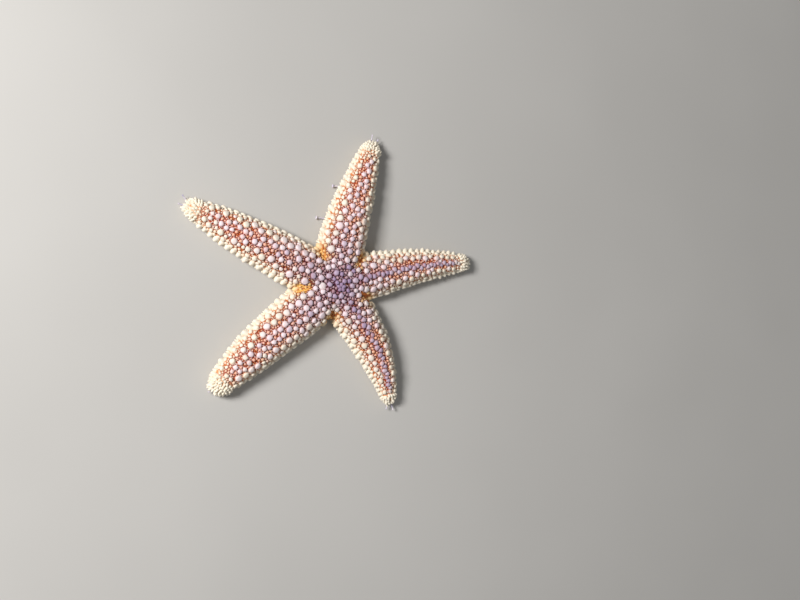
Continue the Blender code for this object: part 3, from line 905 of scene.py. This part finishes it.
    def clothe_disc(self):
        """A five-lobed lilac cluster near the disc's middle, with large spines scattered round it."""
        for number in range(5):
            outward = level(math.radians(18 + 72 * number))
            start = np.array([DISC_X + STAR_X, DISC_Y + STAR_Y, 0.0]) + outward * STAR_REACH
            root, axis = self.ground.from_above(start[0], start[1])
            self.knobs.add(root, axis, outward, 0.78 * MM, 0.60 * MM, 0.95 * MM, self.rng.random(), 1.0)
            self.crowd.add(root, 0.66 * MM)
        for heading, distance, radius, long, lilac in DISC_SPINES:
            x = distance * MM * math.cos(math.radians(heading))
            y = distance * MM * math.sin(math.radians(heading))
            root, axis = self.ground.from_above(DISC_X + x, DISC_Y + y)
            outward = np.array([x, y, 0.0]) / math.hypot(x, y)
            self.rosette(root, axis, np.cross((0, 0, 1), outward), radius * MM, lilac, long)

    def clothe_underside(self, arm, way):
        """Slender spines along a groove's edge, and stouter ones from there to the arm's edge."""
        for share, first, tall, step, radius, slope in UNDER_ROWS:
            for distance, scale in self.steps(arm, first, step, 2.0):
                middle, forward, right = level_frame(arm, distance)
                start = middle + right * way * share * half_width(arm, distance)
                hit = self.ground.along_ray(start, (0, 0, 1), UNDER_REACH)
                if hit is None:
                    continue
                root, axis = hit
                swing = slope + self.rng.uniform(-0.3, 0.3)
                lean = axis + right * way * swing - np.array([0, 0, 0.3])
                size = radius * MM * scale
                height = tall * MM * self.vary(0.08)
                self.groove.add(root, lean, forward, size, size * 1.3, height, self.rng.random())
                self.crowd.add(root, size * 1.3)

    def clothe_mouth(self):
        """Spines that lean in over the mouth from each of the five corners between the grooves."""
        headings = sorted(arm.heading % 360 for arm in ARMS)
        for near, far in zip(headings, headings[1:] + [headings[0] + 360]):
            for distance, aside in MOUTH_SPINES:
                outward = level(math.radians((near + far) / 2 + aside))
                start = np.array([DISC_X, DISC_Y, 0.0]) + outward * distance * MM
                hit = self.ground.along_ray(start, (0, 0, 1), UNDER_REACH)
                if hit is None:
                    continue
                root, axis = hit
                tall = (1.35 - 0.12 * (distance - 4)) * MM * self.vary(0.08)
                lean = axis - 0.7 * outward
                self.groove.add(root, lean, outward, 0.32 * MM, 0.36 * MM, tall, self.rng.random())
                self.crowd.add(root, 0.4 * MM)

    def fill(self, tries, make, radius, overlap, where):
        """Fills what is still bare with as many more as fit."""
        places, normals = self.ground.scatter(self.rng, tries)
        owner, distance, _, split, reach = coordinates(places)
        fold =fold_share(split, reach)
        glow = fold_share(split / GLOW_SPREAD, reach)
        for number in range(tries):
            if not where(normals[number], fold[number]):
                continue
            arm = ARMS[owner[number]]
            size = self.rng.uniform(*radius) * MM * size_at(arm, distance[number])
            if self.crowd.free(places[number], size, overlap):
                make(places[number], normals[number], ahead_at(arm, distance[number]), size, glow[number])

    def add_rosette(self, root, axis, forward, size, glow):
        """A rosette that is the more lilac the nearer it is to the disc's middle."""
        reach = math.hypot(root[0] - DISC_X, root[1] - DISC_Y)
        self.rosette(root, axis, forward, size, 0.95 - 0.09 * reach / MM)

    def add_grain(self, root, axis, forward, size, glow):
        """A small blunt spine."""
        chance = self.rng.random()
        self.grains.add(root, axis, forward, size, size * self.vary(0.15), size * 1.2, chance, 0, glow)
        self.crowd.add(root, size)

    def add_gill(self, root, axis, forward, size, glow):
        """A soft skin gill that leans a little."""
        tilt = axis + 0.2 * self.rng.uniform(-1, 1, 3)
        tall = size * self.rng.uniform(1.1, 1.7)
        self.gills.add(root, tilt, forward, size, size, tall, self.rng.random(), 0, glow)
        self.crowd.add(root, size)

    def add_fold(self, root, axis, forward, size, glow):
        """A low fold of gold skin that points away from the disc's middle."""
        outward = np.array([root[0] - DISC_X, root[1] - DISC_Y, 0.0])
        outward /= np.linalg.norm(outward)
        across = np.cross(axis, outward)
        tall = size * self.rng.uniform(0.8, 1.3)
        long = size * self.rng.uniform(3.4, 5.4)
        gold = np.clip(0.25 - 0.65 * outward[0] + self.rng.uniform(-0.3, 0.3), 0, 1)
        self.folds.add(root, axis, across, size * 0.60, long, tall, self.rng.random(), 0, gold)
        self.crowd.add(root, size)

    def in_corner(self, normal, fold):
        """Whether a place lies in the corner between two arms, more and more seldom towards its edge."""
        return normal[2] > 0.1 and fold > self.rng.uniform(0.15, 0.8)


def on_back(normal, fold):
    """Whether a place faces up or sideways."""
    return normal[2] > -0.3


def on_upper_back(normal, fold):
    """Whether a place lies on the back, off the flanks and the corners between the arms."""
    return normal[2] > 0.62 and fold < 0.2


def beneath(normal, fold):
    """Whether a place lies on the flat underside, beside the grooves."""
    return normal[2] < -0.75


# Materials

def srgb(red, green, blue):
    """A colour of 0 to 255 as the shader's linear one."""
    shares = np.array([red, green, blue]) / 255
    linear = np.where(shares <= 0.04045, shares / 12.92, ((shares + 0.055) / 1.055) ** 2.4)
    return (*linear.tolist(), 1.0)


MAROON = srgb(58, 12, 34)
RED_BROWN = srgb(112, 26, 26)
ORANGE = srgb(172, 60, 24)
# Tan for both flanks, partly the skin's own colour and partly a painted highlight
TAN_WITH_PAINTED_HIGHLIGHT = srgb(224, 148, 78)
RUST = srgb(150, 66, 26)
GOLD = srgb(250, 200, 106)
AMBER = srgb(210, 122, 56)
LILAC = srgb(178, 154, 188)
PINK_WHITE = srgb(252, 234, 240)
CREAM = srgb(252, 243, 224)
PALE_TIP = srgb(236, 204, 170)
PEACH = srgb(248, 158, 88)
MAUVE = srgb(136, 50, 82)
BELLY = srgb(232, 176, 128)


class Look:
    """A material under construction: each call adds a node and returns its output."""

    def __init__(self, name):
        self.material = bpy.data.materials.new(name)
        self.material.use_nodes = True
        self.tree = self.material.node_tree
        self.shader = self.tree.nodes["Principled BSDF"]
        self.place = self.tree.nodes.new("ShaderNodeTexCoord").outputs["Object"]

    def put(self, socket, value):
        if isinstance(value, bpy.types.NodeSocket):
            self.tree.links.new(value, socket)
        else:
            socket.default_value = value

    def node(self, kind, **inputs):
        """A new node with some of its inputs set, named with _ for a space."""
        node = self.tree.nodes.new(kind)
        for name, value in inputs.items():
            self.put(node.inputs[name.replace("_", " ")], value)
        return node

    def attribute(self, name):
        node = self.node("ShaderNodeAttribute")
        node.attribute_name = name
        return node.outputs["Fac"]

    def math(self, operation, a, b=0.0):
        node = self.node("ShaderNodeMath")
        node.operation = operation
        self.put(node.inputs[0], a)
        self.put(node.inputs[1], b)
        return node.outputs[0]

    def add(self, a, b):
        return self.math("ADD", a, b)

    def times(self, a, b):
        return self.math("MULTIPLY", a, b)

    def flank(self):
        """How far round from the ridge a point lies, on either side."""
        return self.math("ABSOLUTE", self.attribute("flank"))

    def span(self, value, low, high, to_low=0.0, to_high=1.0):
        """A smooth step from to_low at low to to_high at high."""
        node = self.node("ShaderNodeMapRange", Value=value, From_Min=low, From_Max=high)
        node.interpolation_type = "SMOOTHSTEP"
        node.inputs["To Min"].default_value = to_low
        node.inputs["To Max"].default_value = to_high
        return node.outputs["Result"]

    def mix(self, factor, a, b):
        node = self.node("ShaderNodeMix", Factor=factor)
        node.data_type = "RGBA"
        self.put(node.inputs[6], a)
        self.put(node.inputs[7], b)
        return node.outputs[2]

    def noise(self, scale, detail=3.0, rough=0.55):
        grain = {"Scale": scale, "Detail": detail, "Roughness": rough}
        return self.node("ShaderNodeTexNoise", Vector=self.place, **grain).outputs["Fac"]

    def patches(self, scale, low=0.3, high=0.7, to_low=0.0, to_high=1.0, detail=3.0):
        """Noise drawn out to soft patches."""
        return self.span(self.noise(scale, detail), low, high, to_low, to_high)

    def cells(self, scale):
        return self.node("ShaderNodeTexVoronoi", Vector=self.place, Scale=scale).outputs["Distance"]

    def bump(self, height, strength, distance):
        node = self.node("ShaderNodeBump", Strength=strength, Distance=distance, Height=height)
        self.put(self.shader.inputs["Normal"], node.outputs["Normal"])

    def finish(self, colour, roughness, coat=0.0):
        self.put(self.shader.inputs["Base Color"], colour)
        self.put(self.shader.inputs["Roughness"], roughness)
        self.shader.inputs["Specular IOR Level"].default_value = 0.5
        self.shader.inputs["Coat Weight"].default_value = coat
        self.shader.inputs["Coat Roughness"].default_value = 0.25
        return self.material


def skin_colour(look):
    """Maroon on the disc, red-brown on the inner arms and orange towards tips and flanks, then tan on both
    flanks: partly the skin's own paler flanks, partly a painted highlight of a brightly lit flank.
    """
    along = look.attribute("along")
    flank = look.flank()
    drift = look.times(look.add(look.noise(220), -0.5), 0.45)
    outward = look.add(look.add(along, look.times(flank, 0.22)), drift)
    colour = look.mix(look.span(outward, 0.08, 0.38), MAROON, RED_BROWN)
    colour = look.mix(look.span(outward, 0.30, 0.78), colour, ORANGE)
    # Tan on both flanks, partly the skin's own colour and partly a painted highlight of a brightly lit flank
    colour = look.mix(look.span(look.add(flank, drift), 0.55, 0.95), colour, TAN_WITH_PAINTED_HIGHLIGHT)
    return look.mix(look.span(along, 0.88, 0.96), colour, PALE_TIP)


def make_skin_look():
    """Moist leathery skin."""
    look = Look("skin")
    colour = look.mix(look.span(look.attribute("axil"), 0.1, 0.7), skin_colour(look), RUST)
    mottle = look.patches(900, 0.35, 0.7, detail=4.0)
    colour = look.mix(look.times(mottle, 0.25), colour, MAROON)
    colour = look.mix(look.span(look.attribute("below"), 0.3, 0.8), colour, BELLY)
    look.bump(look.add(look.noise(1400, 4.0), look.times(look.cells(1600), 0.6)), 0.6, 0.12 * MM)
    return look.finish(colour, look.patches(500, to_low=0.36, to_high=0.58))


def make_spine_look(name, foot_share, pale_low, pale_high, rosy=0.0):
    """Chalky spines: lilac on ridge and disc, pinkish white and cream on the flanks, stained at the foot.
    The cream and the weaker blush on both flanks are partly the spines' own colour and partly a painted
    highlight of a brightly lit flank.
    """
    look = Look(name)
    along = look.attribute("along")
    flank = look.flank()
    chance = look.add(look.attribute("chance"), -0.5)
    # Cream on both flanks is partly a painted highlight of a brightly lit flank; cream at random and towards
    # the tips is the spines' own
    paleness_and_painted_highlight = look.add(look.add(flank, look.times(chance, 0.5)), look.times(along, 0.35))
    paleness_and_painted_highlight = look.add(paleness_and_painted_highlight, look.span(along, 0.84, 0.94))
    colour = look.mix(look.span(paleness_and_painted_highlight, 0.40, 0.90), PINK_WHITE, CREAM)
    tint = look.add(look.attribute("lilac"), look.times(chance, 0.3))
    colour = look.mix(look.span(tint, 0.0, 1.0), colour, LILAC)

    # The blush of bare skin through the chalk is weaker at the tips, and weaker on the flanks partly as a
    # painted highlight of a brightly lit flank
    bare = look.mix(look.span(along, 0.05, 0.5), MAUVE, PEACH)
    blush = look.add(look.times(look.patches(420, 0.45, 0.75), 0.3), rosy)
    blush = look.times(blush, look.span(flank, 0.35, 0.75, 1.0, 0.28))
    blush = look.times(blush, look.span(along, 0.84, 0.94, 1.0, 0.2))
    colour = look.mix(blush, colour, bare)

    stain = look.mix(foot_share, skin_colour(look), PEACH)
    colour = look.mix(look.span(look.attribute("lift"), pale_low, pale_high), stain, colour)
    colour = look.mix(look.times(look.attribute("gold"), 0.8), colour, GOLD)
    look.bump(look.noise(2000, 4.0, 0.65), 0.6, 0.14 * MM)
    return look.finish(colour, look.patches(900, to_low=0.42, to_high=0.62))


def make_gill_look():
    """Soft skin gills, peach towards the tips and mauve on the disc."""
    look = Look("skin_gills")
    along = look.attribute("along")
    blend = look.add(along, look.times(look.add(look.attribute("chance"), -0.5), 0.5))
    colour = look.mix(look.span(blend, 0.1, 0.5), MAUVE, PEACH)
    colour = look.mix(look.span(along, 0.86, 0.95), colour, PALE_TIP)
    colour = look.mix(look.span(look.attribute("lift"), 0.1, 0.75, 0.0, 0.7), skin_colour(look), colour)
    colour = look.mix(look.attribute("gold"), colour, AMBER)
    look.bump(look.noise(2400), 0.25, 0.05 * MM)
    return look.finish(colour, look.patches(900, to_low=0.30, to_high=0.45), coat=0.2)


def make_fold_look():
    """Soft folds of amber to golden skin in the corners between the arms."""
    look = Look("corner_folds")
    colour = look.mix(look.attribute("gold"), AMBER, GOLD)
    colour = look.mix(look.span(look.attribute("lift"), 0.0, 0.7), RUST, colour)
    look.bump(look.noise(2400), 0.25, 0.05 * MM)
    return look.finish(colour, look.patches(900, to_low=0.32, to_high=0.5), coat=0.15)


def make_plain_look(name, low, high, scale, roughness, coat=0.0):
    """A soft or chalky surface whose colour drifts between two, with a fine grain."""
    look = Look(name)
    colour = look.mix(look.patches(scale), srgb(*low), srgb(*high))
    look.bump(look.noise(scale * 3, 4.0), 0.3, 0.06 * MM)
    shine = look.patches(scale * 1.5, to_low=roughness - 0.08, to_high=roughness + 0.08)
    return look.finish(colour, shine, coat)


# Tube feet

# Share of the way from a foot's root to its sucker, and its radius in mm there
FOOT_RINGS = ((0.0, 0.34), (0.25, 0.29), (0.50, 0.26), (0.72, 0.25), (0.86, 0.34), (0.94, 0.46))
FOOT_SIDES = 8
FOOT_COLUMNS = ((0.72, 0.85), (0.34, 0.55))  # share of the groove's radius, and how far it splays in mm
FULL_GROOVE = 1.9 * MM  # the groove's radius from which on the feet have their full size
SUCKER_RADIUS = 0.50 * MM
SUCKER_THICK = 0.16 * MM
SUCKER_RINGS = ((SUCKER_THICK * 0.7, 1.0), (0.02 * MM, 0.94), (0.0, 0.80))  # height, share of its radius


def tube_through(centres, radii, sides, frame_side):
    """Rings of points round a line, square to it."""
    turn = ring_turn(sides)
    rings = []
    for number, centre in enumerate(centres):
        before = centres[max(number - 1, 0)]
        after = centres[min(number + 1, len(centres) - 1)]
        axis = (after - before) / np.linalg.norm(after - before)
        side = frame_side - axis * frame_side.dot(axis)
        side /= np.linalg.norm(side)
        across = np.cross(axis, side)
        out = np.cos(turn)[:, None] * side + np.sin(turn)[:, None] * across
        rings.append(centre + radii[number] * out)
    return rings


def join_bodies(name, bodies):
    """One object from many closed lofts, each given by its rings."""
    points = []
    faces = []
    for rings in bodies:
        start = len(points)
        for ring in rings:
            points.extend(ring.tolist())
        for face in closed_tube(len(rings), len(rings[0])):
            faces.append([start + k for k in face])
    return new_object(name, points, faces)


def foot_rings(root, foot, ahead, outward, scale):
    """One tube foot, bowed outward, from its root to the flat of its sucker."""
    centres = []
    radii = []
    for part, wide in FOOT_RINGS:
        bow = outward * 0.25 * MM * math.sin(math.pi * part) * scale
        centres.append(root * (1 - part) + foot * part + bow)
        radii.append(wide * MM * scale)
    rings = tube_through(centres, radii, FOOT_SIDES, ahead)
    turn = ring_turn(FOOT_SIDES)
    flat = np.cos(turn)[:, None] * ahead + np.sin(turn)[:, None] * np.cross((0, 0, -1), ahead)
    for height, size in SUCKER_RINGS:
        rings.append(np.array([foot[0], foot[1], height]) + flat * SUCKER_RADIUS * size * scale)
    return rings


def make_feet(ground, rng):
    """Four rows of tube feet in each groove, all standing on the floor on their suckers."""
    bodies = []
    for arm in ARMS:
        distance = 5.4 * MM
        row = 0
        while distance < arm.length - 4.6 * MM:
            middle, ahead, right = level_frame(arm, distance)
            radius = GROOVE_SHARE * half_width(arm, distance)
            scale = min(1.0, radius / FULL_GROOVE)
            share, splay = FOOT_COLUMNS[row % 2]
            for way in (-1, 1):
                outward = right * way
                start = middle + right * (way * share * radius)
                hit = ground.along_ray(start, (0, 0, 1), 9 * MM)
                if hit is None:
                    continue
                root = hit[0] + np.array([0, 0, 0.25 * MM])
                foot = start + outward * splay * MM * scale * rng.uniform(0.7, 1.3)
                foot += ahead * rng.uniform(-0.35, 0.35) * MM
                foot[2] = SUCKER_THICK
                bodies.append(foot_rings(root, foot, ahead, outward, scale))
            distance += 1.05 * MM * (0.6 + 0.4 * scale)
            row += 1
    return join_bodies("tube_feet", bodies)


FEELERS = (  # arm, distance in mm, heading off the arm's in degrees; length, drop and sucker's radius in mm
    (1, 22.4, 103, 10.2, 1.2, 0.62),
    (1, 34.3, 106, 8.2, 1.2, 0.62),
    (0, 53.5, -24, 5.0, -0.6, 0.30),
    (0, 53.5, 10, 4.4, 0.2, 0.30),
    (1, 48.5, 16, 4.8, -0.8, 0.30),
    (1, 48.5, -18, 4.4, 0.0, 0.30),
    (2, 49.5, 8, 3.6, 0.4, 0.30),
    (3, 43.8, 12, 5.0, 0.4, 0.30),
    (3, 43.8, -16, 4.2, 0.6, 0.30),
    (4, 51.0, -10, 3.6, 0.4, 0.30),
)
FEELER_RISE = 0.75 * MM
FEELER_STEPS = 12
FEELER_SUCKER = ((0.06, 0.8), (0.16, 1.0), (0.30, 0.96), (0.36, 0.70))  # mm past the end, share of radius


def feeler_rings(number, distance, side, length, drop, sucker):
    """A long tube foot that reaches out past an arm's edge or tip, from its root to its sucker."""
    x, y, heading = middle_line(ARMS[number], distance * MM)
    way = level(heading + math.radians(side))
    root = np.array([x, y, UNDER + FEELER_RISE])
    centres = []
    radii = []
    for step in range(FEELER_STEPS + 1):
        part = step / FEELER_STEPS
        centre = root + way * (length * MM) * part
        centre[2] -= drop * MM * part**2
        centres.append(centre)
        wave = 0.03 * math.sin(9 * part + side)
        radii.append((0.24 + wave) * MM * (1 - 0.25 * part))
    tip = centres[-1]
    for reach, size in FEELER_SUCKER:
        centres.append(tip + way * reach * MM)
        radii.append(sucker * MM * size)
    return tube_through(centres, radii, 10, np.array([0.0, 0.0, 1.0]))


# Sieve plate, mouth and eyespots

SIEVE_SWELL = 0.9 * MM
SIEVE_CUT = 0.075 * MM
MOUTH_PROFILE = (  # radius in mm, height in mm over the lip's lowest point, how deep the folds are
    (3.45, 1.9, 0.0),
    (3.2, 1.25, 0.10),
    (2.8, 0.75, 0.16),
    (2.4, 0.30, 0.18),
    (1.95, 0.04, 0.16),
    (1.5, 0.10, 0.14),
    (1.15, 0.40, 0.12),
    (0.85, 0.95, 0.10),
    (0.55, 1.6, 0.05),
)


def make_sieve():
    """The sieve plate: a low chalky boss cut by fine grooves that branch out from its middle."""
    low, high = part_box("madreporite")
    middle = (low + high) / 2
    radius = (high.x - low.x) / 2 * 1.04
    base = high.z - SIEVE_SWELL
    rings = 16

    def place(share, turn):
        lines = 11 if share < 0.55 else 22
        wave = math.sin(lines * turn + 2.2 * math.sin(5 * share))
        cut = SIEVE_CUT * (0.5 - 0.5 * wave) * min(1.0, 4 * share) * (1 if share < 0.97 else 0)
        swell = SIEVE_SWELL * math.sqrt(max(0.0, 1 - share**2.6))
        out = share * radius * (1 + 0.03 * math.sin(3 * turn + 1))
        return middle.x + out * math.cos(turn), middle.y + out * math.sin(turn), base + swell - cut

    shares = [1 - ring / rings for ring in range(rings)]
    peak = (middle.x, middle.y, base + SIEVE_SWELL - 0.03 * MM)
    return round_form("sieve_plate", shares, 96, place, peak)


def make_mouth():
    """The soft folded skin round the mouth opening."""
    low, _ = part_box("mouth")

    def place(ring, turn):
        radius, height, fold = ring
        wave = 0.5 + 0.5 * math.sin(15 * turn + 0.6 * math.sin(4 * turn))
        star = 1 + 0.05 * math.cos(5 * turn - math.radians(5 * 81))
        return round_disc(radius * star * MM, turn, low.z + (height + fold * wave) * MM)

    return round_form("mouth_skin", MOUTH_PROFILE, 90, place)


def make_eyespot(number):
    """A patch of tiny red lenses at an arm's tip."""
    low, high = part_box(f"eye_{number}")
    middle = (low + high) / 2
    size = (high - low) / 2
    rings = 14

    def place(ring, turn):
        climb = math.pi * ring / rings
        lens = 1 + 0.07 * math.cos(7 * turn + ring) * math.cos(7 * climb)
        return (
            middle.x + size.x * math.sin(climb) * math.cos(turn) * lens,
            middle.y + size.y * math.sin(climb) * math.sin(turn) * lens,
            middle.z - size.z * math.cos(climb) * lens,
        )

    return round_form(f"eyespot_{number}", range(1, rings), 28, place)


# The whole animal

def mark_skin(skin, ground):
    """Stores where each point of the skin lies on the body, for its colours."""
    owner, distance, angle, split, reach = coordinates(ground.points)
    store_place(skin.data, owner, distance, angle)
    store(skin.data, "axil", fold_share(split, reach))
    store(skin.data, "below", np.clip(-ground.normals[:, 2], 0, 1))


def make_coats(ground):
    """Everything that stands on the skin by the hundred."""
    wardrobe = Wardrobe(ground)
    low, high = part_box("madreporite")
    wardrobe.crowd.add(((low.x + high.x) / 2, (low.y + high.y) / 2, high.z - 0.6 * MM), 1.35 * MM)
    wardrobe.clothe_disc()
    for arm in ARMS:
        wardrobe.clothe_tip(arm)
        for mirrored in (False, True):
            wardrobe.clothe_margin(arm, mirrored)
        wardrobe.clothe_back(arm)
    for arm in ARMS:
        for mirrored in (False, True):
            wardrobe.clothe_flank(arm, mirrored)
    for arm in ARMS:
        for way in (1, -1):
            wardrobe.clothe_underside(arm, way)
    wardrobe.clothe_mouth()
    for tries, make, radius, overlap, where in (  # its radius is between two values in mm
        (9000, wardrobe.add_rosette, (1.06, 1.36), 0.20, on_upper_back),
        (4200, wardrobe.add_rosette, (0.78, 0.94), 0.12, on_upper_back),
        (16000, wardrobe.add_fold, (0.24, 0.32), 0.22, wardrobe.in_corner),
        (30000, wardrobe.add_grain, (0.56, 0.80), 0.20, on_back),
        (50000, wardrobe.add_grain, (0.38, 0.52), 0.20, on_back),
        (60000, wardrobe.add_gill, (0.24, 0.32), 0.18, on_back),
        (16000, wardrobe.add_grain, (0.28, 0.42), 0.05, beneath),
    ):
        wardrobe.fill(tries, make, radius, overlap, where)
    wardrobe.crowd.close()

    pale = make_spine_look("spines", 0.35, 0.10, 0.60)
    pads = make_spine_look("spine_pads", 0.30, 0.15, 0.80, 0.30)
    small = make_spine_look("small_spines", 0.40, 0.0, 0.60, 0.60)
    bright = make_spine_look("tip_spines", 0.80, 0.0, 0.25)
    rng = np.random.default_rng(SEED + 1)
    for coat, look, parts in (
        (wardrobe.pads, pads, 1),
        (wardrobe.spines, pale, 1),
        (wardrobe.bars, pale, 1),
        (wardrobe.lumps, pads, 1),
        (wardrobe.knobs, pale, 1),
        (wardrobe.margins, bright, 1),
        (wardrobe.crowns, bright, 1),
        (wardrobe.groove, pale, 1),
        (wardrobe.folds, make_fold_look(), 1),
        (wardrobe.grains, small, 2),
        (wardrobe.gills, make_gill_look(), 2),
        (wardrobe.wreaths, pale, 2),
    ):
        coat.build(rng, look, wardrobe.crowd, parts)


def build_starfish():
    """Makes every piece of the animal."""
    skin = make_skin()
    ground = Ground(skin)
    mark_skin(skin, ground)
    flesh = ["disc"] + [f"arm_{number + 1}" for number in range(len(ARMS))]
    dress(skin, make_skin_look(), "skin", *flesh)
    make_coats(ground)

    soft = make_plain_look("tube_feet", (236, 214, 190), (214, 176, 160), 700, 0.35, 0.3)
    dress(make_feet(ground, np.random.default_rng(SEED + 2)), soft, "skin")
    clear = make_plain_look("stretched_feet", (196, 188, 216), (242, 234, 242), 900, 0.30, 0.4)
    dress(join_bodies("stretched_tube_feet", [feeler_rings(*sizes) for sizes in FEELERS]), clear, "skin")
    chalk = make_plain_look("sieve_plate", (252, 242, 240), (240, 222, 226), 1200, 0.6)
    dress(make_sieve(), chalk, "madreporite", "madreporite")
    lips = make_plain_look("mouth", (222, 150, 112), (190, 104, 82), 600, 0.42, 0.2)
    dress(make_mouth(), lips, "mouth", "mouth")
    red = make_plain_look("eyespots", (190, 40, 24), (150, 20, 16), 3000, 0.22, 0.5)
    for number in range(1, len(ARMS) + 1):
        dress(make_eyespot(number), red, "eyespot", f"eye_{number}")


# The studio

FLOOR_REACH = 3.0
LIGHTS = (  # name, place, size, power and colour
    ("key", (-0.44, 0.12, 0.38), 0.16, 3.6, (1.0, 0.985, 0.97)),
    ("fill", (0.55, -0.35, 0.50), 0.60, 0.3, (0.95, 0.97, 1.0)),
)
SKY_STRENGTH = 0.17
CAMERA_PLACE = Vector((-131.6, -5.1, 354.1)) * MM  # from the floor under the disc's middle
CAMERA_TILT = math.radians(24.0)


def make_stage():
    """A pale floor, soft lights from the upper left and the camera at the photograph's angle."""
    corners = [(x * FLOOR_REACH, y * FLOOR_REACH, 0) for x, y in ((-1, -1), (1, -1), (1, 1), (-1, 1))]
    floor = new_object("floor", corners, [(0, 1, 2, 3)])
    look = Look("floor")
    colour = look.mix(look.patches(6), srgb(203, 201, 197), srgb(210, 208, 204))
    floor.data.materials.append(look.finish(colour, 0.85))

    for name, place, size, power, tint in LIGHTS:
        light = bpy.data.lights.new(name, "AREA")
        light.energy = power
        light.size = size
        light.color = tint
        lamp = put_in_scene(name, light)
        lamp.location = place
        lamp.rotation_euler = (-Vector(place)).to_track_quat("-Z", "Y").to_euler()

    world = bpy.data.worlds.new("studio")
    world.use_nodes = True
    sky = world.node_tree.nodes["Background"]
    sky.inputs["Color"].default_value = (1.0, 1.0, 1.0, 1.0)
    sky.inputs["Strength"].default_value = SKY_STRENGTH
    bpy.context.scene.world = world
    bpy.context.scene.view_settings.view_transform = "Standard"

    view = bpy.data.cameras.new("camera")
    view.lens = 50
    view.sensor_width = 36
    view.clip_start = 0.01
    camera = put_in_scene("camera", view)
    place = Vector((DISC_X, DISC_Y, 0)) + CAMERA_PLACE
    camera.matrix_world = Matrix.Translation(place) @ Matrix.Rotation(-CAMERA_TILT, 4, "Y")
    bpy.context.scene.camera = camera


build_starfish()
make_stage()
